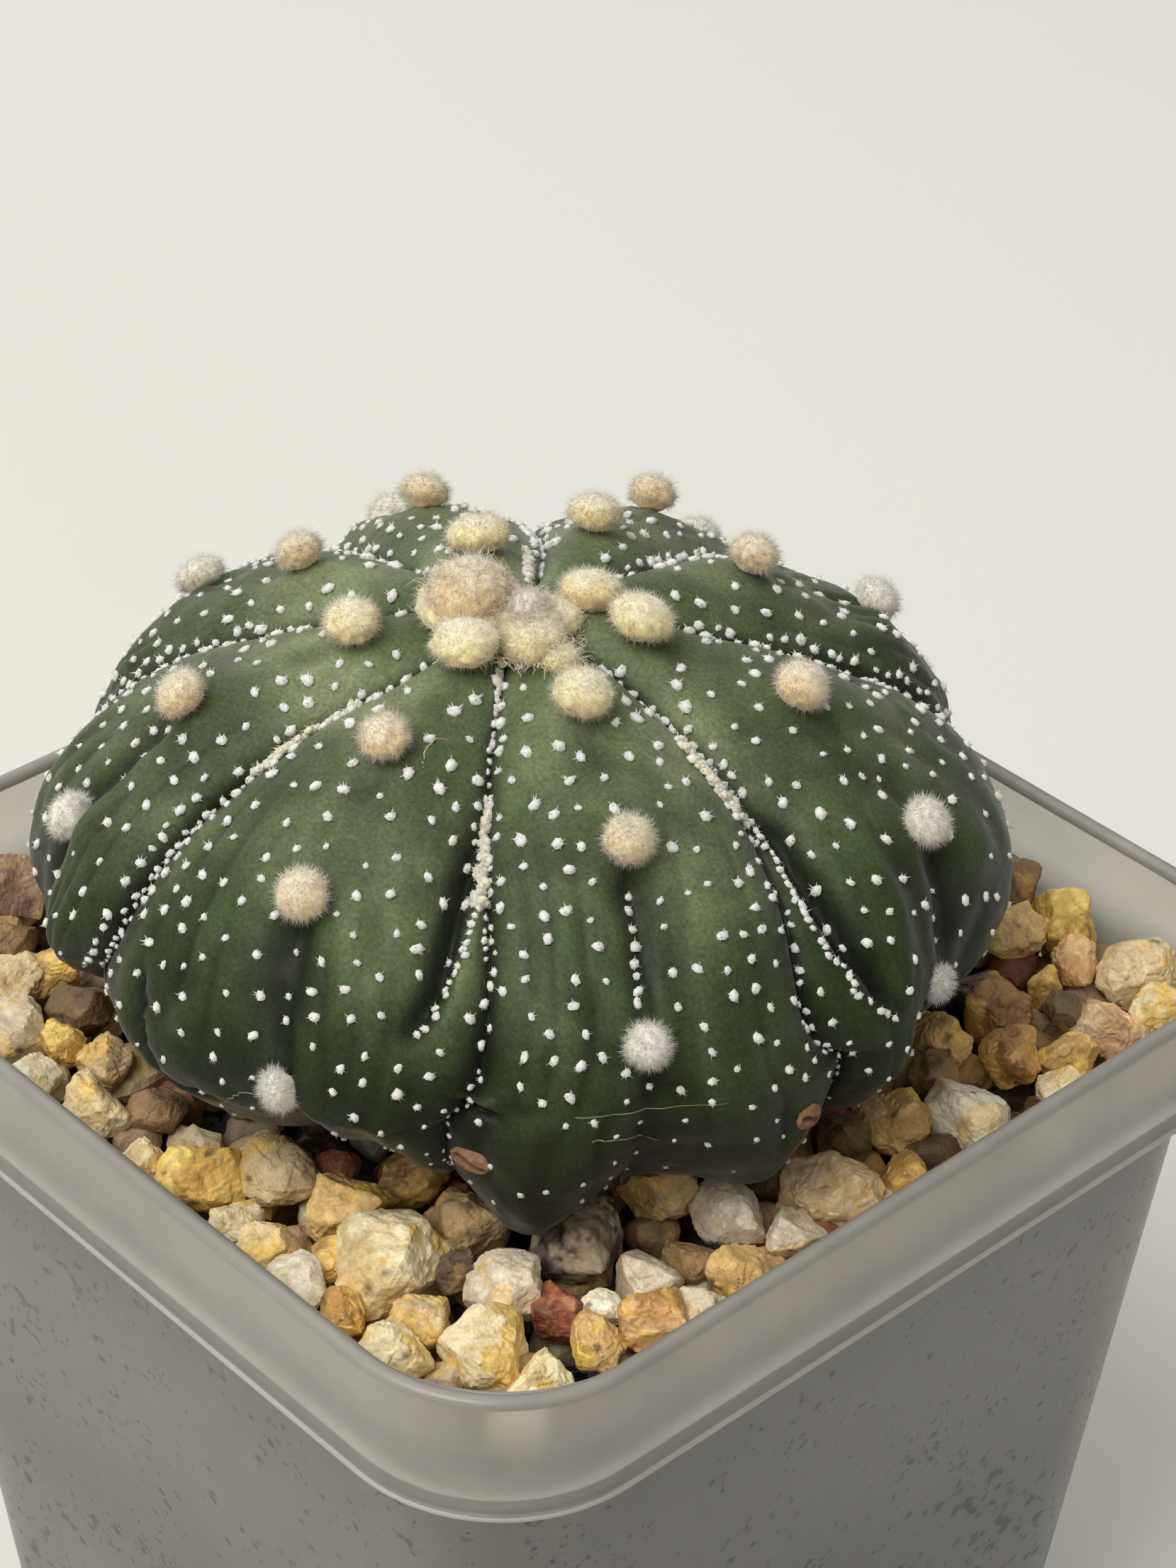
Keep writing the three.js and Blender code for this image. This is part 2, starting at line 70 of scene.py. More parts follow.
# Lamps, one overhead and a weak one low behind the plant: place and size in metres, watts, and colour
LAMPS = {
    "overhead": ((0.04, -0.65, 1.08), 0.8, 9.5, (1, 0.975, 0.93)),
    "glow": ((-0.75, 0.2, 0.45), 0.7, 1, SKY_COLOUR),
}
LAMP_AIM = (0, 0, 0.08)
FLOOR_REACH = 3
FLOOR_TONE = tone(230, 229, 223)

# Cactus body: upper and lower halves of a squashed ball, measured from its widest ring
CACTUS_X = -0.2
CACTUS_Y = -1.1
CACTUS_RADIUS = 33.4
WIDEST_HEIGHT = 83
DOME_HEIGHT = 17.8
DOME_POWER = 1.064
BASE_DEPTH = 16
# How squarely the underside tucks in, by azimuth: low is square and full, high is round and lean
FOOT_POWERS = [
    (0, 0.95), (12, 1.2), (40, 1.35), (75, 1), (110, 0.95), (160, 0.95), (210, 1.05), (247, 1.25),
    (268, 1.15), (284, 1.15), (300, 1.45), (310, 0.9), (319, 0.72), (332, 1), (341, 0.98), (350, 0.75),
    (360, 0.95),
]

# Azimuths in degrees of the creases (even columns) and rib crests (odd columns), anticlockwise,
# at four latitudes from the crown, 0, to the widest ring, 90
KNOT_LATITUDES = np.array([0, 30, 60, 90])
COLUMN_AZIMUTHS = np.array([
    (-3.5, 4.8, -3.8, -1), (18, 30, 23, 10),
    (58, 59.5, 64, 64), (74, 79.5, 80.7, 82),
    (84, 100, 101, 100), (118, 116.3, 114.5, 113),
    (124, 134, 138, 137), (165, 158.5, 157.5, 157),
    (192, 175, 169, 170), (200, 196.5, 192, 190),
    (209, 213, 210.5, 213), (242, 239.5, 243.5, 247),
    (272, 258.5, 259, 257), (291, 285, 289, 292),
    (302, 309.8, 313.8, 309.5), (337, 336, 334, 331.5),
])
COLUMNS = len(COLUMN_AZIMUTHS)
# The crease left of the front ribs turns aside below the widest ring, by this much at the foot
TURNING_COLUMN = 12
FOOT_TURN = -9

# Column and latitude of each areole, with the youngest one last
AREOLE_LATITUDES = {
    1: (14.3, 34.2, 57.3, 82),
    3: (32.7, 59, 83),
    5: (23, 43, 67),
    7: (14.9, 40, 64),
    9: (32.3, 56, 80),
    11: (20.7, 41.8, 65.7, 90),
    13: (13.1, 29.1, 51.1, 83.7),
    15: (20.1, 40.3, 68.9),
}
AREOLES = [(column, latitude) for column, latitudes in AREOLE_LATITUDES.items() for latitude in latitudes]
AREOLES.append((1.64, 8))
# Share of the common size of areoles that have shrunk
SHRUNK_AREOLES = {
    (1, 82): 0.6, (9, 80): 0.8, (11, 90): 0.75, (13, 83.7): 0.8, (15, 68.9): 0.88, (15, 40.3): 0.93,
}

# Depth in millimetres against latitude in degrees
CREASE_DEPTH = [
    (0, 0.2), (10, 1.1), (25, 2), (45, 2.6), (70, 2.8), (90, 3), (130, 2.8), (155, 2), (180, 0.2),
]
CREASE_SHARPNESS = 0.9
CREASE_SLIT = 0.35
FURROW_DEPTH = [(0, 0), (35, 0), (60, 0.7), (90, 1.5), (130, 1.8), (155, 1.2), (180, 0.1)]
FURROW_WIDTH = 0.3
FURROW_LINE = [(0, 0), (42, 0), (55, 0.35), (100, 0.45), (130, 0.2), (180, 0)]
PLEAT_DEPTH = 0.22
# Millimetres across half a rib, near the widest ring
HALF_RIB = 13
# Folds apart from the creases: width, then (azimuth, latitude, depth) from end to end, where a
# negative depth is a ridge
SIDE_FOLDS = [
    (0.9, ((309.5, 30, 0.4), (308.4, 36, 1.5), (307.9, 43, 2), (307.6, 52, 2.1), (307.2, 59, 2),
           (305.2, 66, 1.3), (303.8, 69, 0.2))),
    (0.6, ((311.4, 36, -0.1), (311.6, 45, -0.4), (310.8, 52, -0.4), (309.3, 59, -0.3), (307.8, 65, 0))),
    (0.85, ((4.3, 38, 0.5), (5.2, 44, 1.6), (3.4, 54, 1.9), (2.4, 65, 1.8), (3.6, 75, 1.4), (5.5, 81, 0.3))),
    (0.5, ((268.3, 73, 0.1), (269.2, 80, 0.7), (270, 87, 1), (271.6, 95, 1.1), (273, 102, 1.1),
           (276, 106, 1), (280, 104, 0.6), (284, 98, 0))),
    (0.5, ((334.5, 42, 0.5), (333.5, 49, 0.7), (332.9, 55, 0.7), (332, 63, 0.6), (331.5, 72, 0.2))),
    (0.42, ((309.4, 77.6, 0), (311.5, 79.6, -0.6), (313.8, 80.8, -0.65), (316.4, 82, 0))),
    (0.4, ((310.2, 80.5, 0.1), (312.4, 82.8, 0.8), (314.8, 83.8, 0.7), (317, 84.5, 0))),
]

# Grid of the cactus skin
STEPS_PER_HALF_RIB = 28
CREASE_CROWDING = 1.3
SKIN_LATITUDES = np.concatenate([np.linspace(1.5, 122, 142), np.linspace(124, 172, 26)])
# Steps to each side over which a place's depth is compared with its neighbours', for the painted shade
# in hollows and painted light on ridges
RIDGE_STEPS = 8

# Colours of the skin, with SKIN_CREASE_SHADE the dark green of painted shade in creases, folds and pleats;
# how much darker the skin is painted by latitude, as painted shade towards the underside; and the
# greener, less blue tint of that painted shade
SKIN_LIT = tone(120, 130, 96)
SKIN_MID = tone(82, 95, 63)
SKIN_CREASE_SHADE = tone(34, 50, 26)
SKIN_OLD = tone(84, 70, 38)
SKIN_LIP = tone(150, 162, 118)
SKIN_PAINTED_SHADE = [(0, 1.1), (20, 0.98), (45, 0.56), (70, 0.24), (90, 0.12), (105, 0.07), (140, 0.06)]
SKIN_PAINTED_SHADE_TINT = np.array([0.85, 1, 0.72])

# Woolly pads: width and height of an old one, and what a young one has on top
PAD_WIDTH = 3.15
PAD_HEIGHT = 2.45
YOUNG_WIDTH = 1
YOUNG_HEIGHT = 0.15
PAD_FIBRES = 1700
# Latitudes between which the wool of the areoles turns white with age
WHITENING = (49, 60)
FRINGE_LENGTH = 0.66
FRINGE_WIDTH = 0.034
FRINGE_DROOP = 0.2
CLUMP_SIZE = 0.42
CLUMP_RISE = 0.085
WOOL_CREAM = tone(255, 236, 170)
WOOL_PEACH = tone(246, 220, 168)
WOOL_WHITE = tone(250, 245, 230)
# Tan of the pads' undersides, partly stain and partly painted shade
WOOL_STAIN_AND_SHADE = tone(228, 186, 120)

# Rows of flecks on each half of a rib: share of the way from its crease, spacing in millimetres,
# first latitude, and size
FLECK_ROWS = [
    (0.02, 0.55, 12, 0.52), (0.11, 1.3, 12, 0.62), (0.25, 1.9, 12, 0.66), (0.39, 2.2, 14, 0.66),
    (0.54, 2.3, 17, 0.66), (0.7, 2.6, 20, 0.62), (0.86, 2.6, 26, 0.6), (0.99, 2.1, 30, 0.6),
]
FLECK_END = 118
FLECK_GROWTH = 0.9
FLECK_SPIKES = 6
FLECK_WHITE = tone(252, 252, 238)
FLECK_OLD = tone(222, 222, 192)
# Creases with few flecks of their own below this latitude, and the share of flecks left out there
SPARSE_CREASES = {0: 44, 14: 50}
SPARSE_SKIP = 0.75
# Lines of flecks beside the folds: azimuth and latitude from end to end, spacing, and size
BEAD_LINES = [
    (((310.8, 36), (311, 45.4), (310.4, 50.6), (308.4, 59), (307.1, 65), (305.5, 68)), 0.7, 0.5),
    (((4, 39.2), (2.1, 47.8), (0, 55.3), (-0.2, 62.7), (0.6, 72.4), (2.4, 78.1), (4.4, 82)), 0.72, 0.52),
    (((334.5, 42), (333.5, 49), (332.9, 55), (332, 63)), 1.3, 0.62),
]
BEAD_GAP = 0.45
# No fleck stands nearer than this to an areole's middle
AREOLE_ROOM = 2.3
DEGREES_PER_MM = 180 / (math.pi * CACTUS_RADIUS)
# Wool in the deep of a crease, where it lies as a continuous line: its path and how many tufts
CREASE_WOOL = [
    (((309.4, 29), (310.7, 36), (311.2, 46)), 62),
    (((258.5, 24), (260.2, 32), (260.9, 40)), 46),
    (((0.5, 27), (-0.4, 31.7), (-0.4, 36), (1.9, 40.5)), 60),
    (((301, 10), (306, 18)), 9),
    (((136, 9), (138, 20)), 22),
]

# Crown: place and size of each wool cushion with its fibres, and of the two flower buds
WOOL_CUSHIONS = [
    ((-2.2, -3.9, 101.2), (7, 7, 3.4), 3200),
    ((1.8, -2.6, 101.2), (4.8, 4.8, 3), 2200),
    ((3.2, -3.6, 101.1), (4.6, 4.6, 2.9), 2200),
    ((5.6, -3.3, 100.7), (2.6, 2.6, 1.8), 900),
    ((2.3, -0.9, 101.2), (3.8, 3.8, 2.2), 1100),
]
CROWN_MIDDLE = (1.2, -3.5, 100.9)
CROWN_CURLS = 420
FIBRES_PER_CURL = 18
LARGE_BUD = ((-1.9, -4.3, 102.4), (5.3, 5.3, 4.6))
LARGE_BUD_TUFT = (-1.6, -4.5, 102.4)
SMALL_BUD = ((1.9, -2.7, 102.0), (2.7, 2.7, 3))
BUD_HAIR = tone(222, 180, 142)

# Small marks on the skin. Scars: azimuth, latitude, length and width. The others: azimuth and
# latitude from end to end, but the dry curl of husk lies over the gravel, in millimetres.
SCARS = [(312.8, 98, 2.9, 1.9), (352, 95, 2.1, 1.8)]
SCAR_HEIGHT = 0.42
SCRATCHES = [
    ((324.1, 82.5), (329.4, 83.3), (335.6, 83.5), (341.5, 84.7)),
    ((325.8, 90.2), (328.6, 91), (331.8, 94.4), (333.7, 96.1)),
    ((284, 98), (286, 92.5), (289, 88), (291.5, 86.2)),
]
STRAY_HAIR = ((294.7, 30), (293.6, 28), (294.6, 26), (297.5, 24.8))
DRY_CURL = ((30.6, 3.9, 82), (30.8, 4.3, 82), (30.7, 5.1, 82), (30.7, 5.9, 82), (30.5, 6.9, 82))
SCAR_BROWN = tone(148, 112, 84)

# Gravel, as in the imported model
STONE_HEIGHT = 70.3
STONE_POINTS = 9
GOLDEN_ANGLE = 2.399963
STONE_SEED = 4100
STONE_CHIPS = 18
CHIP_SPOTS = 400
MOST_FACETS = STONE_CHIPS + 40
LANDMARK_BURIED = 1.34
FILL_SEED = 77
FILL_TRIES = 2000
FILL_REACH = 34
FILL_KEEP_OUT = 21
FILL_SIZE_MIN = 5.4
FILL_SIZE_RANGE = 2.8
FILL_CLOSENESS = 0.38
WALL_GAP = 0.12
# Layers of stones under those on top: how far they lie below, how bright they are, darker as painted
# shade in the gaps, and the fineness of their meshes
LOWER_LAYERS = ((1.9, 0.72, 4), (4, 0.45, 3))
LOWER_TRIES = 4000
LOWER_REACH = 35
LOWER_GAP = 3.6
LOWER_KEEP_OUT = 17
LOWER_CORNER = 62
# The stones that show best in front of the plant: x, y, the length that shows, and the stone's kind
LANDMARK_STONES = [
    (-32.5, -22, 7, "rose"), (-27, -25, 4, "brown"), (-22, -25, 4, "ochre"), (-22.5, -27.5, 4.2, "tan"),
    (-19, -30.5, 5.8, "quartz"), (-18, -25.5, 4.2, "umber"), (-15.5, -29, 3.5, "yellow"),
    (-13.5, -32.5, 3.5, "white"), (-12.5, -27.5, 4, "tan"), (-8.5, -31.5, 5, "cream"),
    (-5.5, -28.5, 3.8, "brown"), (-2, -32.5, 3.2, "cream"), (1.5, -30, 5.2, "yellow"),
    (4.5, -26.5, 5.6, "tan"), (6.5, -23, 3, "rust"), (10, -25.5, 5.8, "ochre"), (6.5, -31.5, 3.6, "cream"),
    (9.5, -31.5, 4, "cream"), (13.5, -32.5, 4.2, "white"), (13.5, -29, 3, "ochre"),
    (16.5, -27, 7.6, "cream"), (18, -32, 3, "amber"), (21.5, -28.5, 3.5, "tan"), (16.5, -20.5, 5.4, "tan"),
    (19.5, -24, 3.4, "umber"), (22.5, -22.5, 5.2, "quartz"), (22.5, -32, 4.8, "cream"),
    (26, -27, 5.6, "cream"), (26, -21.5, 4, "rust"), (30, -26.5, 4, "cream"), (21.5, -15.5, 6.8, "granite"),
    (19.5, -10.5, 4, "amber"), (22.5, -9.5, 4.8, "tan"), (27.5, -15.5, 4.8, "quartz"),
    (28.5, -12, 3.4, "brown"), (27.5, -19, 3, "white"), (30, -21.5, 4.2, "ochre"), (31, -18, 4.6, "amber"),
    (32, -15, 3.8, "white"), (26.5, -7, 5.2, "quartz"), (31.5, -11, 3.8, "ochre"),
    (29.5, -1, 6.4, "tan"), (31, -5.5, 3.4, "quartz"), (26.5, 3.5, 4, "umber"), (27, 7.5, 5.4, "ochre"),
    (31.5, 4, 3.6, "amber"), (30.5, 11.5, 5.8, "white"), (26, 13, 4, "brown"), (23.5, 15.5, 4.2, "ochre"),
    (24, 21, 5.6, "amber"), (28, 18.5, 4.6, "amber"), (19, 28.5, 4.8, "ochre"), (24, 26, 3.2, "yellow"),
    (14.5, 32.5, 5, "brown"), (20, 32.5, 5.2, "yellow"), (23.5, 29.5, 3.6, "orange"),
    (27, 32.5, 5.8, "tan"), (30, 26, 4.6, "peach"), (31.5, 29.5, 4.4, "cream"), (30.5, 21, 3.8, "ochre"),
    (32.5, 18, 4.2, "cream"), (27, 24.5, 3, "umber"),
]
# Kinds of stone: screen colours of the stone, of its patches and of its stains, and how many are of it
STONE_KINDS = {
    "cream": ((250, 234, 192), (228, 202, 150), (240, 200, 112), 17),
    "white": ((252, 244, 220), (232, 216, 180), (238, 214, 158), 8),
    "tan": ((226, 202, 158), (190, 160, 114), (230, 190, 110), 15),
    "ochre": ((232, 196, 132), (192, 154, 96), (246, 206, 108), 14),
    "yellow": ((234, 200, 112), (200, 158, 82), (248, 220, 130), 8),
    "orange": ((226, 178, 120), (190, 134, 84), (244, 206, 146), 5),
    "amber": ((196, 152, 90), (144, 100, 54), (232, 190, 104), 5),
    "peach": ((234, 202, 164), (200, 160, 122), (240, 198, 130), 4),
    "quartz": ((240, 230, 204), (210, 196, 168), (244, 212, 146), 9),
    "granite": ((126, 112, 102), (82, 70, 68), (190, 172, 142), 2),
    "rose": ((186, 154, 132), (146, 116, 102), (210, 176, 132), 2),
    "brown": ((152, 124, 88), (108, 84, 58), (186, 150, 96), 3),
    "umber": ((116, 96, 68), (80, 64, 46), (150, 120, 78), 2),
    "rust": ((162, 98, 74), (118, 64, 48), (200, 142, 100), 1.5),
}
GLASSY_KINDS = ("quartz", "amber")
ROUGH_KINDS = ("cream", "tan", "ochre", "yellow", "orange", "amber", "peach")
GRANITE_PALE = tone(206, 190, 160)
GRANITE_DARK = tone(48, 40, 40)
DIRT = tone(74, 54, 34)

# Pot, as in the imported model
POT_HEIGHT = 76
RIM_HALF = 37.5
RIM_CORNER = 11.6
WALL = 1.2
COLLAR_HEIGHT = 10.1
COLLAR_LEAN = 0.3
BODY_HALF_TOP = 35
BODY_TAPER = 0.0944
CORNER_TAPER = 0.03
BODY_TOP = POT_HEIGHT - COLLAR_HEIGHT
SHELF_THICKNESS = 0.9
CORNER_STEPS = 16
DRAIN_RADIUS = 2.5
DRAIN_SIDES = 32
DRAIN_PLACE = 17
SOIL_TOP = 65.2
SOIL_BOTTOM = 1.6
# The plastic looks darker where potting mix is pressed against it, with dark grit
COLLAR_TONE = tone(236, 234, 228)
FILLED_TONE = tone(176, 174, 170)
# Tone of the milky beads, partly a painted highlight along the pot's edges
EDGE_HIGHLIGHT_TONE = tone(190, 187, 180)
GRIT = tone(84, 82, 80)
GRIT_TOP = BODY_TOP - 2
SOIL_TONE = tone(100, 98, 94)
# Beads of milky plastic, partly a painted highlight for the bright lines at the lip and the collar's
# lower edge: half width of the square they run round, height and radius
MILKY_HIGHLIGHT_BEADS = [
    (RIM_HALF - WALL / 2, POT_HEIGHT - 0.52, 0.44),
    (RIM_HALF - COLLAR_LEAN - 0.1, BODY_TOP + 0.3, 0.26),
]
EDGE_SIDES = 8


# Numbers, colours and directions

def noise(points, size, seed=0):
    """Smooth noise from -1 to 1, with bumps about size millimetres wide."""
    spots = points / size
    cells = np.floor(spots).astype(np.int64)
    part = spots - cells
    part = part * part * (3 - 2 * part)
    total = np.zeros(points.shape[:-1])
    for corner in itertools.product((0, 1), repeat=3):
        mixed = ((cells + corner) @ np.array([73856093, 19349663, 83492791]) + seed * 7919) & WORD
        mixed = ((mixed ^ (mixed >> 13)) * 1274126177) & WORD
        total += np.prod(np.where(corner, part, 1 - part), axis=-1) * (mixed ^ (mixed >> 16)) / WORD
    return 2 * total - 1


def layered(points, size, seed=0, layers=3):
    """Noise with finer and weaker noise on top, each layer half the size of the last."""
    return sum(noise(points, size / 2 ** i, seed + i) / 2 ** i for i in range(layers))


def smooth(value, start, end):
    part = np.clip((value - start) / (end - start), 0, 1)
    return part * part * (3 - 2 * part)


def blend(table, value):
    """Eased value of a table of (place, value) rows at each place."""
    steps = itertools.pairwise(table)
    return table[0][1] + sum((after - before) * smooth(value, start, end)
                             for (start, before), (end, after) in steps)


def mix(first, second, part):
    return first + (second - first) * np.asarray(part)[..., None]


def painted(colour, *coats):
    """A colour under coats of other colours, each with its share at each point."""
    for coat, share in coats:
        colour = mix(colour, coat, share)
    return colour


def unit(vectors):
    return vectors / np.maximum(np.linalg.norm(vectors, axis=-1, keepdims=True), 1e-9)


def across(directions, rng):
    """Two directions square to each given one and to each other."""
    side = unit(np.cross(directions, rng.normal(size=directions.shape)))
    return side, np.cross(directions, side)


def dome_directions(count, lowest, rng):
    """Random directions that rise at least to the lowest level."""
    level = rng.uniform(lowest, 1, count)
    around = rng.uniform(0, 2 * math.pi, count)
    flat = np.sqrt(1 - level ** 2)
    return np.stack([flat * np.cos(around), flat * np.sin(around), level], axis=-1)


# Meshes, each as points, triangles and a colour for each point

def add_object(name, data):
    thing = bpy.data.objects.new(name, data)
    bpy.context.scene.collection.objects.link(thing)
    return thing


def joined(parts):
    """One mesh out of several."""
    offsets = np.cumsum([0] + [len(points) for points, _, _ in parts])
    moved = [faces + offset for (_, faces, _), offset in zip(parts, offsets)]
    return tuple(np.concatenate(group) for group in (
        [points for points, _, _ in parts], moved, [tints for _, _, tints in parts]))


def add_piece(name, parts, finish, replaced=None, crystalline=False):
    """A piece of the object, of one or more meshes."""
    points, faces, tints = joined(parts)
    mesh = bpy.data.meshes.new(name)
    mesh.from_pydata((points * MM).tolist(), [], faces.tolist())
    colours = np.column_stack([np.clip(tints, 0, 1), np.ones(len(points))])
    mesh.color_attributes.new("tint", "FLOAT_COLOR", "POINT").data.foreach_set("color", colours.ravel())
    if crystalline:
        mesh.shade_flat()
    else:
        mesh.shade_smooth()
    mesh.materials.append(finish.material)
    piece = add_object(name, mesh)
    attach(piece, "root")
    if replaced:
        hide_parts(replaced)
    return piece


def repeated(faces, points_each, count):
    """Faces of one template, repeated for count copies of its points."""
    offsets = np.arange(count)[:, None, None] * points_each
    return (faces[None] + offsets).reshape(-1, 3)


def ring_faces(count, rings, closed=False):
    """Triangles between rings of count points each; a closed tube's last ring meets its first."""
    here = np.arange(count * (rings if closed else rings - 1))
    beside = here // count * count + (here + 1) % count
    over, over_beside = (np.stack([here, beside]) + count) % (count * rings)
    return np.concatenate([
        np.stack([here, beside, over_beside], axis=-1), np.stack([here, over_beside, over], axis=-1)])


def capped_faces(count, rings):
    """Triangles of rings that two further points, after all of theirs, close at the ends."""
    around = np.arange(count)
    after = (around + 1) % count
    last = count * (rings - 1)
    first_cap = np.stack([after, around, np.full(count, last + count)], axis=-1)
    last_cap = np.stack([last + around, last + after, np.full(count, last + count + 1)], axis=-1)
    return np.concatenate([ring_faces(count, rings), first_cap, last_cap])


def strands(paths, widths, tints, rng, tips=None):
    """Closed three-sided hairs along paths (hair, step, xyz), each ending in a point that may be paler."""
    count, steps, _ = paths.shape
    along = unit(np.gradient(paths, axis=1))
    lean = np.repeat(rng.normal(size=(count, 1, 3)), steps, axis=1)
    side = unit(np.cross(along, lean))
    up = np.cross(along, side)
    taper = np.linspace(1, 0.45, steps)[None, :, None, None]
    angles = np.arange(3)[:, None] * 2 * math.pi / 3
    rings = side[:, :, None] * np.cos(angles) + up[:, :, None] * np.sin(angles)
    rings = paths[:, :, None] + rings * taper * np.asarray(widths).reshape(-1, 1, 1, 1) / 2
    points = np.concatenate([rings[:, :-1].reshape(count, -1, 3), paths[:, -1:]], axis=1)
    last = 3 * (steps - 2)
    tip = [(last + j, last + (j + 1) % 3, last + 3) for j in range(3)]
    faces = np.concatenate([[(0, 2, 1)], ring_faces(3, steps - 1), tip])
    colours = np.repeat(tints, last + 4, axis=0)
    if tips is not None:
        colours[last + 3::last + 4] = tips
    return points.reshape(-1, 3), repeated(faces, last + 4, count), colours


def hair_paths(roots, outward, lengths, bend, rng, steps=2):
    """Hairs that leave their roots outwards and bend to a side by about bend of their length."""
    side, _ = across(outward, rng)
    along = np.linspace(0, 1, steps)[None, :, None]
    side = side * (bend * rng.uniform(0.3, 1.3, size=len(roots)))[:, None]
    reach = outward[:, None] * along + side[:, None] * along ** 2
    return roots[:, None] + lengths[:, None, None] * reach


def curl_paths(roots, outward, lengths, turns, curl, rng, steps):
    """Hairs that wind loosely about a drooping line."""
    side, up = across(outward, rng)
    along = np.linspace(0, 1, steps)[None, :, None]
    angle = along * 2 * math.pi * turns * rng.uniform(0.6, 1.4, size=(len(roots), 1, 1))
    forward = outward[:, None] * np.sin(along * 1.6) * 0.55 + side[:, None] * along * 0.85
    winding = side[:, None] * (np.cos(angle) - 1) + up[:, None] * np.sin(angle)
    return roots[:, None] + lengths[:, None, None] * (forward + curl * winding * along)


def geodesic(steps):
    """Unit ball with 20 * steps * steps even triangles."""
    shape = bmesh.new()
    bmesh.ops.create_icosphere(shape, subdivisions=1, radius=1)
    corners = np.array([[vertex.co for vertex in face.verts] for face in shape.faces])
    shape.free()
    spots = [(i, j) for i in range(steps + 1) for j in range(steps + 1 - i)]
    index = {spot: number for number, spot in enumerate(spots)}
    faces = [(index[i, j], index[i + 1, j], index[i, j + 1]) for i, j in spots if i + j < steps]
    faces += [(index[i + 1, j], index[i + 1, j + 1], index[i, j + 1]) for i, j in spots if i + j < steps - 1]
    weights = np.array([(steps - i - j, i, j) for i, j in spots]) / steps
    points = (weights @ corners).reshape(-1, 3)
    _, keep, same = np.unique(points.round(5), axis=0, return_index=True, return_inverse=True)
    return unit(points[keep]), same.reshape(-1)[repeated(np.array(faces), len(spots), len(corners))]


PAD_BALL = geodesic(8)
FLECK_BALL = geodesic(1)


# Materials

def add_node(tree, kind, inputs=None, **settings):
    """A shader node with its settings, and a value or another node's output on each input named."""
    node = tree.nodes.new("ShaderNode" + kind)
    for name, value in settings.items():
        setattr(node, name, value)
    for name, value in (inputs or {}).items():
        if isinstance(value, bpy.types.NodeSocket):
            tree.links.new(value, node.inputs[name])
        else:
            node.inputs[name].default_value = value
    return node


class Finish:
    """A material whose colour starts from the piece's own tint and gains finer marks in nodes."""

    def __init__(self, name, **sockets):
        self.material = bpy.data.materials.new(name)
        self.material.use_nodes = True
        self.tree = self.material.node_tree
        self.shader = self.tree.nodes["Principled BSDF"]
        for socket, value in sockets.items():
            self.shader.inputs[socket.replace("_", " ")].default_value = value
        self.place = add_node(self.tree, "TexCoord").outputs["Object"]
        self.normal = None
        self.paint(add_node(self.tree, "VertexColor", layer_name="tint").outputs["Color"])

    def paint(self, colour):
        self.colour = colour
        self.tree.links.new(colour, self.shader.inputs["Base Color"])
        return self

    def noise(self, size, detail=3):
        """Noise from 0 to 1 with bumps about size millimetres wide."""
        inputs = {"Scale": 1 / (size * MM), "Detail": detail, "Vector": self.place}
        return add_node(self.tree, "TexNoise", inputs).outputs["Fac"]

    def ranged(self, value, low, high, from_low=0.3, from_high=0.7):
        inputs = {"Value": value, "From Min": from_low, "From Max": from_high, "To Min": low, "To Max": high}
        return add_node(self.tree, "MapRange", inputs).outputs["Result"]

    def calculated(self, operation, *values):
        return add_node(self.tree, "Math", dict(enumerate(values)), operation=operation).outputs["Value"]

    def mottle(self, size, amount, detail=3):
        """Darkens and lightens the colour in patches of about this size."""
        inputs = {0: self.colour, "Scale": self.ranged(self.noise(size, detail), 1 - amount, 1 + amount)}
        return self.paint(add_node(self.tree, "VectorMath", inputs, operation="SCALE").outputs["Vector"])

    def marks(self, mask, colour):
        """Paints a colour where the mask is 1."""
        node = add_node(self.tree, "Mix", {"Factor": mask}, data_type="RGBA")
        before, over = [socket for socket in node.inputs if socket.type == "RGBA"]
        over.default_value = (*colour, 1)
        self.tree.links.new(self.colour, before)
        return self.paint(next(socket for socket in node.outputs if socket.type == "RGBA"))

    def clustered(self, size, cluster, edge, softness):
        """Mask of small spots of one size that gather in clusters of another."""
        both = self.calculated("MULTIPLY_ADD", self.noise(cluster, 1), 0.6, self.noise(size, 1))
        return self.ranged(both, 0, 1, edge, edge + softness)

    def below(self, mask, height):
        """The mask, only below a height in millimetres."""
        level = add_node(self.tree, "SeparateXYZ", {0: self.place}).outputs["Z"]
        return self.calculated("MULTIPLY", mask, self.ranged(level, 1, 0, (height - 0.5) * MM, height * MM))

    def bump(self, size, height, detail=3):
        """Relief of about this size and height in millimetres."""
        inputs = {"Distance": height * MM, "Height": self.noise(size, detail)}
        if self.normal:
            inputs["Normal"] = self.normal
        self.normal = add_node(self.tree, "Bump", inputs).outputs["Normal"]
        self.tree.links.new(self.normal, self.shader.inputs["Normal"])
        return self

    def rough(self, size, low, high):
        self.tree.links.new(self.ranged(self.noise(size), low, high), self.shader.inputs["Roughness"])
        return self


def wool_finish(name):
    finish = Finish(
        name, Roughness=0.9, Specular_IOR_Level=0.1, Sheen_Weight=0.8, Sheen_Roughness=0.6,
        Subsurface_Weight=0.5, Subsurface_Radius=(0.0007, 0.0006, 0.0005), Subsurface_Scale=1)
    return finish.mottle(0.25, 0.06).bump(0.15, 0.06)


WOOL_FINISH = wool_finish("wool_finish")
HAIR_FINISH = wool_finish("hair_finish")


# Cactus skin

# Cubic through each column's azimuths at the four latitudes
AZIMUTH_CUBICS = np.linalg.solve(np.vander(KNOT_LATITUDES / 90, 4), COLUMN_AZIMUTHS.T).T


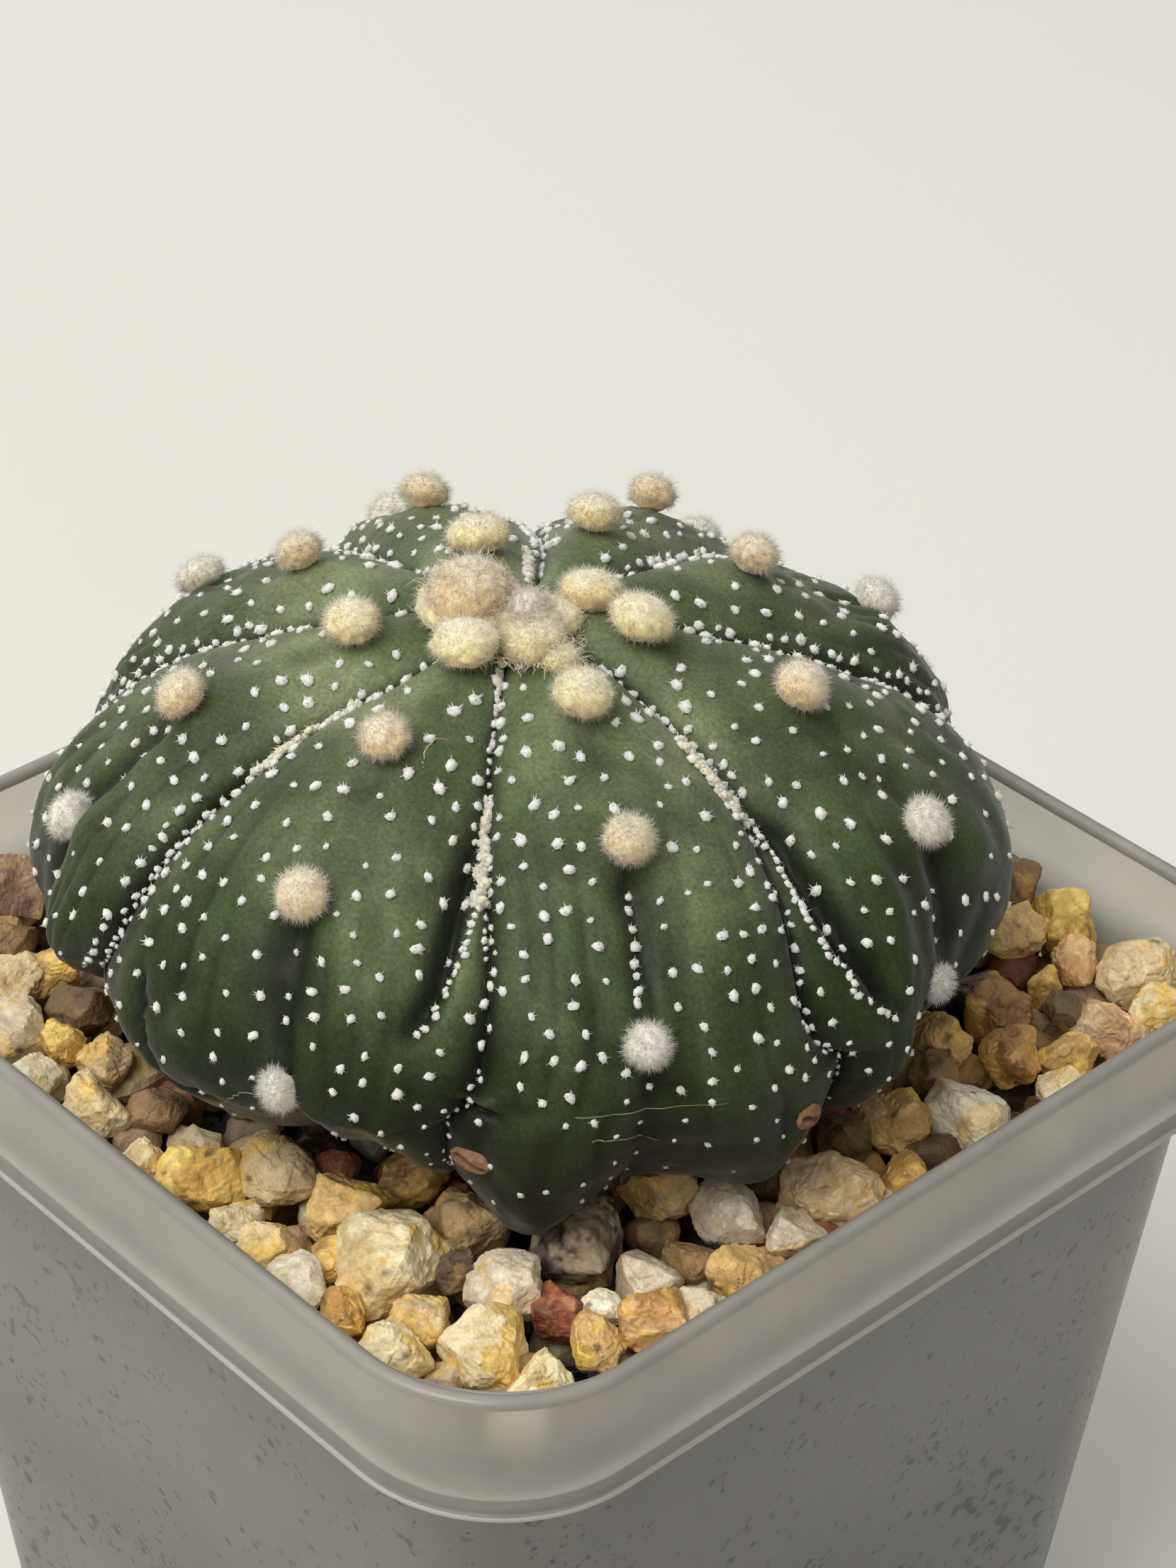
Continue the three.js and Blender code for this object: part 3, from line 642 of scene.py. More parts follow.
def column_azimuth(column, latitude):
    """Azimuth in degrees of a whole column."""
    part = np.minimum(latitude, 90) / 90
    cubic, square, slope, start = np.moveaxis(AZIMUTH_CUBICS[column % COLUMNS], -1, 0)
    aside = np.where(column % COLUMNS == TURNING_COLUMN, FOOT_TURN, 0) * smooth(latitude, 90, 125)
    return ((cubic * part + square) * part + slope) * part + start + aside + 360 * (column // COLUMNS)


def skin_azimuth(column, latitude):
    """Azimuth in degrees of any column, whole or between two."""
    first = np.floor(column).astype(int)
    before = column_azimuth(first, latitude)
    return before + (column_azimuth(first + 1, latitude) - before) * (column - first)


def fold_column(azimuth, latitude):
    """Column whose azimuth at this latitude is the given one."""
    columns = np.linspace(0, COLUMNS, COLUMNS * 50 + 1)
    azimuths = skin_azimuth(columns, np.full(len(columns), latitude))
    return columns[np.abs((azimuths - azimuth + 180) % 360 - 180).argmin()]


def path_column(path, latitude):
    """Column where a path of azimuths and latitudes is at this latitude."""
    azimuths, latitudes = np.array(path).T
    return fold_column(np.interp(latitude, latitudes, azimuths), latitude)


def crest_share(column):
    """0 in a crease and 1 on a rib's crest."""
    return 1 - np.abs(column % 2 - 1)


def foot_power(azimuth):
    """Eased between the azimuths that the table gives."""
    azimuths, powers = np.array(FOOT_POWERS).T
    spot = np.asarray(azimuth) % 360
    index = np.clip(np.searchsorted(azimuths, spot, side="right") - 1, 0, len(azimuths) - 2)
    part = smooth(spot, azimuths[index], azimuths[index + 1])
    return powers[index] + (powers[index + 1] - powers[index]) * part


def outline(azimuth, latitude):
    """Reach from the axis and height of the plain body."""
    angle = np.radians(latitude)
    upper = latitude <= 90
    power = np.where(upper, DOME_POWER, foot_power(azimuth))
    rise = np.where(upper, DOME_HEIGHT, -BASE_DEPTH) * np.abs(np.cos(angle)) ** power
    return CACTUS_RADIUS * np.abs(np.sin(angle)) ** power, WIDEST_HEIGHT + rise


def plain_place(azimuth, latitude):
    """Point on the body before any relief, and the outline's own normal there."""
    reach, height = outline(azimuth, latitude)
    reach_before, height_before = outline(azimuth, np.maximum(latitude - 0.2, 0))
    reach_after, height_after = outline(azimuth, np.minimum(latitude + 0.2, 179.9))
    along = unit(np.stack([reach_after - reach_before, height_after - height_before], axis=-1))
    outward, upward = -along[..., 1], along[..., 0]
    cosine, sine = np.cos(np.radians(azimuth)), np.sin(np.radians(azimuth))
    point = np.stack([CACTUS_X + reach * cosine, CACTUS_Y + reach * sine, height], axis=-1)
    return point, np.stack([outward * cosine, outward * sine, upward], axis=-1)


FOLD_LINES = [
    (plain_place(*np.array(path).T[:2])[0], [depth for _, _, depth in path], width)
    for width, path in SIDE_FOLDS
]
# Middle of each areole, and a spot just under it
AREOLE_MIDDLES = [
    [plain_place(skin_azimuth(column, latitude), latitude + drop)[0] for drop in (0, 5.5)]
    for column, latitude in AREOLES
]


def fold_depth(plain):
    """Depth of the folds at places on the plain body, from the nearest point of each fold's line."""
    total = 0
    for places, depths, width in FOLD_LINES:
        nearest = np.full(plain.shape[:-1], np.inf)
        depth = np.zeros(plain.shape[:-1])
        for start, end, before, after in zip(places, places[1:], depths, depths[1:]):
            along = end - start
            part = np.clip((plain - start) @ along / (along @ along), 0, 1)
            away = np.linalg.norm(plain - mix(start, end, part), axis=-1)
            depth = np.where(away < nearest, before + (after - before) * part, depth)
            nearest = np.minimum(nearest, away)
        total = total + depth * np.exp(-(nearest / width) ** 1.4)
    return total


def areole_swelling(plain):
    """Low swellings that carry the areoles, with a soft hollow just under each."""
    total = 0
    for middle, below in AREOLE_MIDDLES:
        total = total + 0.65 * np.exp(-np.sum((plain - middle) ** 2, axis=-1) / 7)
        total = total - 0.45 * np.exp(-np.sum((plain - below) ** 2, axis=-1) / 2.2)
    return total


def skin_grain(column, latitude, stretch):
    """Places for noise that runs down the ribs."""
    return np.stack([column * HALF_RIB, latitude * stretch, column * 0], axis=-1)


def pleats(column, latitude):
    """Long soft pleats down the flanks of the ribs, 1 in the deep of each."""
    lines = np.exp(-(noise(skin_grain(column, latitude, 0.07), 2.3, 5) / 0.2) ** 2)
    fading = smooth(latitude, 22, 60) * (1 - smooth(latitude, 100, 120))
    return lines * fading * smooth(crest_share(column), 0.06, 0.25)


def skin_depth(column, latitude, plain):
    """How far the skin lies under the plain body, with creases, furrows, folds and pleats."""
    share = crest_share(column)
    flank = 1 - np.sqrt(1 - (CREASE_SHARPNESS * (1 - share)) ** 2)
    crease = flank / (1 - math.sqrt(1 - CREASE_SHARPNESS ** 2))
    depth = blend(CREASE_DEPTH, latitude) * crease
    depth = depth + CREASE_SLIT * np.exp(-share / 0.035) * smooth(latitude, 4, 16)
    depth = depth + blend(FURROW_DEPTH, latitude) * np.exp(-((1 - share) / FURROW_WIDTH) ** 2)
    depth = depth + blend(FURROW_LINE, latitude) * np.exp(-((1 - share) / 0.05) ** 2)
    depth = depth + fold_depth(plain) + PLEAT_DEPTH * pleats(column, latitude)
    grain = skin_grain(column, latitude, 0.14)
    waves = 0.3 * noise(grain, 3.6, 6) + 0.14 * noise(grain * (1, 1.6, 1), 1.6, 7)
    depth = depth - waves * smooth(latitude, 25, 75) * smooth(share, 0.02, 0.3)
    return depth - 0.3 * layered(plain, 9, 3) - 0.08 * noise(plain, 1.6, 9) - 0.03 * noise(plain, 0.7, 10)


def skin(column, latitude):
    """Point on the cactus skin, and its depth under the plain body."""
    column, latitude = np.broadcast_arrays(np.asarray(column, float), np.asarray(latitude, float))
    plain, normal = plain_place(skin_azimuth(column, latitude), latitude)
    depth = skin_depth(column, latitude, plain) - areole_swelling(plain)
    return plain - normal * depth[..., None], depth


def skin_frame(column, latitude):
    """Point on the skin and the true direction out of it."""
    steps = ((0, 0), (0.02, 0), (0, 0.4))
    point, beside, below = (skin(column + step, latitude + drop)[0] for step, drop in steps)
    return point, unit(np.cross(below - point, beside - point))


def build_cactus_body():
    part = np.arange(STEPS_PER_HALF_RIB) / STEPS_PER_HALF_RIB
    shares = (part ** CREASE_CROWDING, 1 - (1 - part) ** CREASE_CROWDING)
    columns = np.concatenate([half + shares[half % 2] for half in range(COLUMNS)])
    column, latitude = np.meshgrid(columns, SKIN_LATITUDES)
    surface, depth = skin(column, latitude)
    crown, _ = skin(np.arange(COLUMNS), 1)
    foot = (CACTUS_X, CACTUS_Y, WIDEST_HEIGHT - BASE_DEPTH)
    points = np.concatenate([surface.reshape(-1, 3), [crown.mean(axis=0), foot]])
    faces = capped_faces(len(columns), len(SKIN_LATITUDES))[:, ::-1]

    folds = fold_depth(plain_place(skin_azimuth(column, latitude), latitude)[0])
    colour = painted(
        mix(SKIN_MID, SKIN_LIT, smooth(layered(surface, 7, 21), -0.7, 0.9)),
        # Creases, their deepest line, pleats and folds darken towards SKIN_CREASE_SHADE, painted shade in
        # the hollows
        (SKIN_CREASE_SHADE, 0.75 * smooth(depth, 1.2, 4.8)),
        (SKIN_CREASE_SHADE, 0.5 * np.exp(-crest_share(column) / 0.05)),
        (SKIN_CREASE_SHADE, 0.22 * pleats(column, latitude)),
        (SKIN_CREASE_SHADE, 0.6 * smooth(folds, 0.2, 1.4)),
        (SKIN_LIP, 0.8 * smooth(-folds, 0.25, 0.6)),
        (SKIN_OLD, 0.9 * smooth(latitude + 14 * layered(surface, 5, 23), 100, 132)),
        # The darkest brown at the underside is painted shade
        (SKIN_OLD * 0.35, smooth(latitude + 8 * noise(surface, 4, 24), 128, 150)),
    )
    # Painted light on ridges and painted shade in hollows, by how deep each place lies against its
    # neighbours
    shifts = range(-RIDGE_STEPS, RIDGE_STEPS + 1)
    nearby = sum(np.roll(depth, shift, axis=1) for shift in shifts) / len(shifts)
    bright = 1 + 1.5 * np.clip(nearby - depth, -0.4, 0.35)
    # Painted shade: darker by latitude towards the underside, and greener there
    bright = bright * blend(SKIN_PAINTED_SHADE, latitude + 5 * noise(surface, 6, 25))
    colour = colour * bright[..., None] * mix(1, SKIN_PAINTED_SHADE_TINT, smooth(latitude, 30, 75))
    tints = np.concatenate([colour.reshape(-1, 3), [SKIN_CREASE_SHADE, SKIN_OLD]])
    finish = Finish("cactus_skin_finish", Specular_IOR_Level=0.14, Sheen_Weight=0.14, Sheen_Roughness=0.45)
    finish.mottle(2.2, 0.16).mottle(0.26, 0.26, 2).rough(1.5, 0.38, 0.56)
    finish.bump(1.4, 0.05).bump(0.22, 0.02, 2)
    add_piece("cactus_body", [(points, faces, tints)], finish, "cactus")


# Woolly areoles

def woolly_dome(place, size, colour, fibres, seed, turn=np.eye(3), lowest=-0.25, stain=0.8):
    """Clumped felt, palest on its clumps, with a top paler partly by bleaching and partly as painted light,
    an underside tan partly by stain and partly as painted shade, and fine fibres palest at their tips.
    """
    rng = np.random.default_rng(seed)
    half = np.array(size) / 2

    def felt(out):
        clumps = layered(out * half, CLUMP_SIZE, seed, 2)
        lumps = 1 + 0.07 * noise(out * half + seed, 2.4, seed) + CLUMP_RISE * clumps
        # Height on the pad, mostly by world up: paler at the top as painted light, tan below as stain and
        # painted shade
        level = 0.35 * clumps + 0.35 * out[:, 2] + 0.65 * (out @ turn)[:, 2]
        stain_and_shade = (WOOL_STAIN_AND_SHADE, stain * smooth(-level, -0.6, 0.7))
        tints = painted(colour, stain_and_shade, (WOOL_WHITE, 0.5 * smooth(level, 0.25, 1.05)))
        return place + out * lumps[:, None] * half @ turn, tints

    ball, faces = PAD_BALL
    points, tints = felt(ball)
    out = dome_directions(fibres, lowest, rng)
    outward = unit(unit(out / half) - (0, 0, FRINGE_DROOP) + rng.normal(scale=0.45, size=out.shape))
    lengths = FRINGE_LENGTH * rng.uniform(0.3, 1.2, fibres)
    paths = hair_paths(felt(out * 0.96)[0], outward @ turn, lengths, 0.4, rng)
    hair = felt(out)[1]
    fringe = strands(paths, FRINGE_WIDTH, hair, rng, mix(hair, WOOL_WHITE, 0.6))
    return joined([(points, faces, tints), fringe])


def build_areoles():
    """Young wool is cream, then peach, and the oldest is bleached white."""
    pads = []
    for number, (column, latitude) in enumerate(AREOLES):
        point, normal = skin_frame(column, latitude)
        young = 1 - smooth(latitude, 10, 34)
        share = SHRUNK_AREOLES.get((column, latitude), 1)
        width = share * (PAD_WIDTH + YOUNG_WIDTH * young + 0.15 * math.sin(number * 2.3))
        height = share * (PAD_HEIGHT + YOUNG_HEIGHT * young + 0.15 * math.sin(number * 1.7))
        side, up = across(normal, np.random.default_rng(200 + number))
        white = smooth(latitude, *WHITENING)
        colour = painted(WOOL_CREAM, (WOOL_PEACH, smooth(latitude, 16, 34)), (WOOL_WHITE, white))
        # The stain share sets the tan underside, partly stain and partly painted shade, weaker on white pads
        pads.append(woolly_dome(
            point + normal * height * 0.42, (width, width, height), colour * share ** 0.4, PAD_FIBRES,
            300 + number, turn=np.stack([side, up, normal]), lowest=-0.5, stain=0.8 - 0.6 * white))
    half = len(pads) // 2
    add_piece("areoles_a", pads[:half], WOOL_FINISH)
    add_piece("areoles_b", pads[half:], WOOL_FINISH)


# Flecks of wool on the skin

def fleck_places():
    """Column, latitude and size of each fleck in the rows that run with the creases."""
    rng = np.random.default_rng(61)
    places = []
    for half, (share, spacing, start, row_size) in itertools.product(range(COLUMNS), FLECK_ROWS):
        in_crease = share < 0.05
        latitude = start + rng.uniform(0, 4)
        while latitude < FLECK_END:
            spot = min(max(share + rng.normal(scale=0.008 if in_crease else 0.022), 0.005), 1)
            column = half + (1 - spot if half % 2 else spot)
            size = FLECK_GROWTH * row_size * rng.uniform(0.72, 1.3) * (1 - 0.45 * smooth(latitude, 70, 110))
            size = size * (1.18 - 0.18 * smooth(latitude, 25, 50))
            skip = 0.12 if in_crease else 0.12 + 0.5 * smooth(latitude, 70, 110)
            crease = (half + half % 2) % COLUMNS
            if share < 0.2 and latitude > SPARSE_CREASES.get(crease, FLECK_END):
                skip = SPARSE_SKIP
            if rng.uniform() > skip:
                places.append((column, latitude, size))
            latitude += spacing * DEGREES_PER_MM * rng.uniform(0.65, 1.45)
    return places


def bead_places():
    """Column, latitude and size of each fleck in the lines beside the folds."""
    rng = np.random.default_rng(62)
    places = []
    for path, spacing, size in BEAD_LINES:
        latitude = path[0][1]
        while latitude < path[-1][1]:
            column = path_column(path, latitude) + rng.normal(scale=0.008)
            places.append((column, latitude, size * rng.uniform(0.8, 1.25)))
            latitude += spacing * DEGREES_PER_MM * rng.uniform(0.75, 1.3)
    return places


def thinned(points, gaps):
    """Which points stay when each keeps a gap of its own from those before it."""
    kept = []
    for i, (point, gap) in enumerate(zip(points, gaps)):
        if not kept or np.linalg.norm(points[kept] - point, axis=1).min() > gap:
            kept.append(i)
    return np.array(kept)


def tufts(points, normals, sizes, tints, rng):
    """Small cottony tufts: a ragged cap with short tapering fibres that spread from it."""
    count = len(points)
    side, up = across(normals, rng)
    ball, ball_faces = FLECK_BALL
    shape = ball[None] * rng.uniform(0.75, 1.2, (count, len(ball), 1))
    shape = shape * sizes[:, None, None] * (0.66, 0.5, 0.36)
    roots = points + normals * sizes[:, None] * 0.12
    caps = roots[:, None] + shape @ np.stack([side, up, normals], axis=1)
    caps = (caps.reshape(-1, 3), repeated(ball_faces, len(ball), count), np.repeat(tints, len(ball), axis=0))
    many = np.repeat(np.arange(count), FLECK_SPIKES)
    angle = rng.uniform(0, 2 * math.pi, len(many))[:, None]
    outward = side[many] * np.cos(angle) * 1.3 + up[many] * np.sin(angle)
    outward = unit(outward + normals[many] * rng.uniform(0.1, 0.9, (len(many), 1)))
    lengths = sizes[many] * rng.uniform(0.6, 0.95, len(many))
    paths = hair_paths(roots[many], outward, lengths, 0.3, rng)
    return joined([caps, strands(paths, sizes[many] * 0.24, tints[many], rng)])


def build_flecks():
    rng = np.random.default_rng(63)
    beads = bead_places()
    places = np.array(beads + fleck_places())
    points, normals = skin_frame(places[:, 0], places[:, 1])
    gaps = 0.5 + 0.95 * smooth(crest_share(places[:, 0]), 0.03, 0.25)
    gaps[:len(beads)] = BEAD_GAP
    kept = thinned(points, gaps)
    middles = np.array([skin_frame(column, latitude)[0] for column, latitude in AREOLES])
    kept = kept[np.linalg.norm(points[kept, None] - middles, axis=2).min(axis=1) > AREOLE_ROOM]
    _, latitudes, sizes = places[kept].T
    old = smooth(latitudes + rng.normal(scale=12, size=len(kept)), 70, 125)
    tints = mix(FLECK_WHITE, FLECK_OLD, old) * rng.uniform(0.88, 1.05, (len(kept), 1))
    flecks = tufts(points[kept], normals[kept], sizes, tints, rng)
    add_piece("wool_flecks", [flecks], WOOL_FINISH)


def build_crease_wool():
    rng = np.random.default_rng(71)
    parts = []
    for path, count in CREASE_WOOL:
        latitude = np.sort(rng.uniform(path[0][1], path[-1][1], count))
        column = np.array([path_column(path, place) for place in latitude])
        points, normals = skin_frame(column + rng.normal(scale=0.012, size=count), latitude)
        points = points + normals * rng.uniform(0, 0.3, (count, 1))
        tints = mix(WOOL_WHITE, WOOL_CREAM, rng.uniform(0, 0.7, count)) * rng.uniform(0.9, 1.03, (count, 1))
        parts.append(tufts(points, normals, rng.uniform(0.45, 0.85, count), tints, rng))
        strays = rng.integers(count, size=count * 3)
        outward = unit(normals[strays] + rng.normal(scale=0.8, size=(len(strays), 3)))
        paths = hair_paths(points[strays], outward, rng.uniform(0.3, 0.7, len(strays)), 0.7, rng, steps=3)
        parts.append(strands(paths, 0.045, tints[strays], rng))
    add_piece("crease_wool", parts, WOOL_FINISH)


# Crown: wool cushions and the two flower buds in their hair

def curled_hairs(place, size, count, length, width, colours, curl, seed):
    """Loose curls over a cushion or a bud."""
    rng = np.random.default_rng(seed)
    half = np.array(size) / 2
    out = dome_directions(count, 0.05, rng)
    outward = unit(out / half + rng.normal(scale=0.35, size=out.shape))
    lengths = length * rng.uniform(0.5, 1.3, count)
    paths = curl_paths(place + out * half * 0.98, outward, lengths, 1, curl, rng, steps=8)
    tints = mix(*colours, rng.uniform(0, 1, count)) * rng.uniform(0.85, 1.08, (count, 1))
    return strands(paths, width, tints, rng)


def build_crown():
    pale_wool = (WOOL_CREAM, WOOL_WHITE)
    parts = []
    for number, (place, size, fibres) in enumerate(WOOL_CUSHIONS):
        parts.append(woolly_dome(place, size, WOOL_CREAM, fibres, 500 + number))
        curls = fibres // FIBRES_PER_CURL
        parts.append(curled_hairs(place, size, curls, 1.15, 0.05, pale_wool, 0.2, 600 + number))
    rng = np.random.default_rng(520)
    angle = rng.uniform(0, 2 * math.pi, CROWN_CURLS)
    reach = rng.uniform(2.3, 4.2, (CROWN_CURLS, 1))
    around = np.stack([np.cos(angle), np.sin(angle), 0 * angle], axis=-1)
    outward = unit(around + rng.uniform(-0.3, 0.5, (CROWN_CURLS, 1)) * (0, 0, 1))
    roots = CROWN_MIDDLE + reach * around * (1.25, 0.9, 0)
    paths = curl_paths(roots, outward, rng.uniform(0.7, 1.7, CROWN_CURLS), 0.6, 0.2, rng, steps=6)
    parts.append(strands(paths, 0.07, mix(*pale_wool, rng.uniform(0, 0.8, CROWN_CURLS)), rng))
    add_piece("crown_wool_mass", parts, WOOL_FINISH, "crown_wool")

    size = LARGE_BUD[1]
    add_piece("bud_large", [
        woolly_dome(*LARGE_BUD, mix(WOOL_CREAM, BUD_HAIR, 0.45), 2200, 540),
        curled_hairs(LARGE_BUD_TUFT, size, 110, 1.5, 0.06, (BUD_HAIR, BUD_HAIR * 0.8), 0.2, 541),
        curled_hairs(*LARGE_BUD, 160, 1.2, 0.055, pale_wool, 0.12, 542),
    ], HAIR_FINISH, "flower_bud_large")
    pink = mix(WOOL_WHITE, BUD_HAIR, 0.3)
    add_piece("bud_small", [
        woolly_dome(*SMALL_BUD, pink, 1300, 560),
        curled_hairs(*SMALL_BUD, 90, 1, 0.055, (pink, WOOL_WHITE), 0.15, 561),
    ], HAIR_FINISH, "flower_bud_small")


# Small marks on the skin: corky scars, scratches, a stray hair and a dry bit of husk

def scar_mesh(azimuth, latitude, length, width, seed):
    """A corky button with a dark slit across it."""
    ball, faces = PAD_BALL
    point, normal = skin_frame(fold_column(azimuth, latitude), latitude)
    along = unit(np.cross([0, 0, 1], normal))
    turn = np.stack([along, np.cross(normal, along), normal])
    slit = np.exp(-(ball[:, 1] + 0.25 * np.sin(3 * ball[:, 0])) ** 2 / 0.03) * (np.abs(ball[:, 0]) < 0.75)
    shape = ball * (length / 2, width / 2, SCAR_HEIGHT)
    shape = shape * (1 + 0.1 * noise(ball * 2, 0.6, seed))[:, None]
    shape[:, 2] -= 0.36 * slit * (ball[:, 2] > 0)
    tint = SCAR_BROWN * (0.85 + 0.3 * noise(ball * 2, 0.35, seed + 3))[:, None]
    return point + shape @ turn, faces, mix(tint, DIRT * 0.5, 0.9 * slit)


def skin_thread(line, steps, lift, width, tint, rng):
    """One hair along a line on the skin, lifted off it."""
    azimuths, latitudes = np.array(line).T
    along = np.linspace(0, len(line) - 1, steps)
    azimuth = np.interp(along, np.arange(len(line)), azimuths)
    latitude = np.interp(along, np.arange(len(line)), latitudes)
    column = np.array([fold_column(*place) for place in zip(azimuth, latitude)])
    points, normals = skin_frame(column, latitude)
    return strands((points + normals * np.reshape(lift, (-1, 1)))[None], width, tint[None], rng)


def build_skin_marks():
    rng = np.random.default_rng(91)
    parts = [scar_mesh(*scar, 30 + number) for number, scar in enumerate(SCARS)]
    parts += [skin_thread(scratch, 24, 0.02, 0.13, SKIN_LIP * 0.7, rng) for scratch in SCRATCHES]
    arch = 0.25 + 0.5 * np.sin(np.linspace(0, math.pi, 14))
    parts.append(skin_thread(STRAY_HAIR, 14, arch, 0.09, mix(SKIN_LIP, WOOL_CREAM, 0.6), rng))
    parts.append(strands(np.array([DRY_CURL]), 0.5, DIRT[None] * 2, rng))
    finish = Finish("cork_finish", Specular_IOR_Level=0.25, Roughness=0.8)
    add_piece("skin_marks", parts, finish.mottle(0.4, 0.15).bump(0.3, 0.06))


# Gravel

def seeded_random(seed):
    """The same repeatable numbers from 0 to 1 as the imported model's stones were drawn with."""
    state = seed & WORD
    while True:
        state = (state + 0x6D2B79F5) & WORD
        mixed = ((state ^ (state >> 15)) * (state | 1)) & WORD
        mixed = ((mixed + (mixed ^ (mixed >> 7)) * (mixed | 61)) & WORD) ^ mixed
        yield (mixed ^ (mixed >> 14)) / (WORD + 1)


def stone_places():
    """Place, length and kind of each stone in the top layer."""
    draws = seeded_random(FILL_SEED)
    rng = np.random.default_rng(81)
    shares = np.array([kind[3] for kind in STONE_KINDS.values()])
    places = [(x, y, length * LANDMARK_BURIED, kind) for x, y, length, kind in LANDMARK_STONES]
    for _ in range(FILL_TRIES):
        x = (next(draws) * 2 - 1) * FILL_REACH
        y = (next(draws) * 2 - 1) * FILL_REACH
        length = FILL_SIZE_MIN + FILL_SIZE_RANGE * next(draws) * next(draws)
        under_plant = math.hypot(x - CACTUS_X, y - CACTUS_Y) < FILL_KEEP_OUT
        in_corner = abs(x) + abs(y) > 2 * FILL_REACH - 4
        crowded = any(
            math.hypot(other_x - x, other_y - y) < (other + length) * FILL_CLOSENESS
            for other_x, other_y, other, _ in places)
        if not (under_plant or in_corner or crowded):
            places.append((x, y, length, str(rng.choice(list(STONE_KINDS), p=shares / shares.sum()))))
    return places


def lower_places(rng):
    """Stones of a layer below, which fill the gaps between those on top."""
    spots = []
    for _ in range(LOWER_TRIES):
        x, y = rng.uniform(-LOWER_REACH, LOWER_REACH, 2)
        length = rng.uniform(4.6, 6.2)
        clear = all(math.hypot(other[0] - x, other[1] - y) > LOWER_GAP for other in spots)
        beside_plant = math.hypot(x - CACTUS_X, y - CACTUS_Y) > LOWER_KEEP_OUT
        if clear and beside_plant and abs(x) + abs(y) < LOWER_CORNER:
            spots.append((x, y, length))
    return spots


def hull_planes(points):
    """Outward normals and distances of the flat faces round some points."""
    shape = bmesh.new()
    for point in points:
        shape.verts.new(point)
    bmesh.ops.convex_hull(shape, input=shape.verts)
    bmesh.ops.recalc_face_normals(shape, faces=shape.faces)
    shape.normal_update()
    normals = np.array([face.normal for face in shape.faces])
    distances = np.sum(normals * [face.calc_center_median() for face in shape.faces], axis=1)
    shape.free()
    return normals * np.sign(distances)[:, None], np.abs(distances)


def chipped(normals, distances, rng):
    """Adds small flat faces where a stone's corners have been knocked off."""
    spots = unit(rng.normal(size=(CHIP_SPOTS, 3)))
    reach = spots / np.max(spots @ normals.T / distances, axis=1, keepdims=True)
    chips = unit(rng.normal(size=(STONE_CHIPS, 3)))
    cuts = np.max(chips @ reach.T, axis=1) * rng.uniform(0.8, 0.98, STONE_CHIPS)
    return np.concatenate([normals, chips]), np.concatenate([distances, cuts])


def kept_inside(points):
    """Points moved in from the pot's wall where they are too near to it."""
    in_body = points[:, 2] < BODY_TOP + WALL
    half = np.where(in_body, pot_half(points[:, 2]), RIM_HALF - COLLAR_LEAN) - WALL
    corner = RIM_CORNER - WALL
    place = np.abs(points[:, :2]) - (half - corner)[:, None]
    outer = np.maximum(place, 0)
    round_corner = np.linalg.norm(outer, axis=1)
    distance = round_corner + np.minimum(place.max(axis=1), 0) - corner
    away = np.where(round_corner[:, None] > 0, unit(outer), np.eye(2)[place.argmax(axis=1)])
    moved = points.copy()
    moved[:, :2] -= np.maximum(distance + WALL_GAP, 0)[:, None] * away * np.sign(points[:, :2])
    return moved


def stone_mesh(x, y, length, kind, index, ball):
    draws = seeded_random(STONE_SEED + index)
    breadth = length * (0.72 + 0.2 * next(draws))
    height = length * (0.7 + 0.2 * next(draws))
    yaw = next(draws) * math.pi * 2
    tilt = (next(draws) - 0.5) * 0.5
    lift = (next(draws) - 0.5) * 0.9
    corners = []
    for i in range(STONE_POINTS):
        level = 1 - 2 * (i + 0.5) / STONE_POINTS
        around = i * GOLDEN_ANGLE + (next(draws) - 0.5) * 0.9
        flat = math.sqrt(1 - level * level)
        reach = (0.92 + 0.2 * next(draws)) / 2
        place = (flat * math.cos(around) * length, flat * math.sin(around) * breadth, level * height)
        corners.append(reach * np.array(place))
    rng = np.random.default_rng(900 + index)
    normals, distances = chipped(*hull_planes(corners), rng)
    directions, faces = ball
    facing = np.maximum(directions @ normals.T / distances, 0)
    sharpness = rng.uniform(80, 200)
    points = directions * (np.sum(facing ** sharpness, axis=1) ** (-1 / sharpness))[:, None]
    rough = 1 if kind in ROUGH_KINDS else 0.55
    terraces = np.round(3 * layered(points, 2.3, index) + rng.uniform(0, 1)) / 3
    pits = np.abs(noise(points, 0.9, index + 9))
    bumps = rough * (0.34 * terraces + 0.16 * (pits - 0.3) + 0.07 * noise(points, 0.5, index + 11))
    points = points + directions * bumps[:, None]
    tints = stone_tint(points, facing.argmax(axis=1), kind, pits, index, rng)
    turn = Matrix.Rotation(yaw, 3, "Z") @ Matrix.Rotation(tilt, 3, "X")
    return kept_inside(points @ np.array(turn).T + (x, y, STONE_HEIGHT + lift)), faces, tints


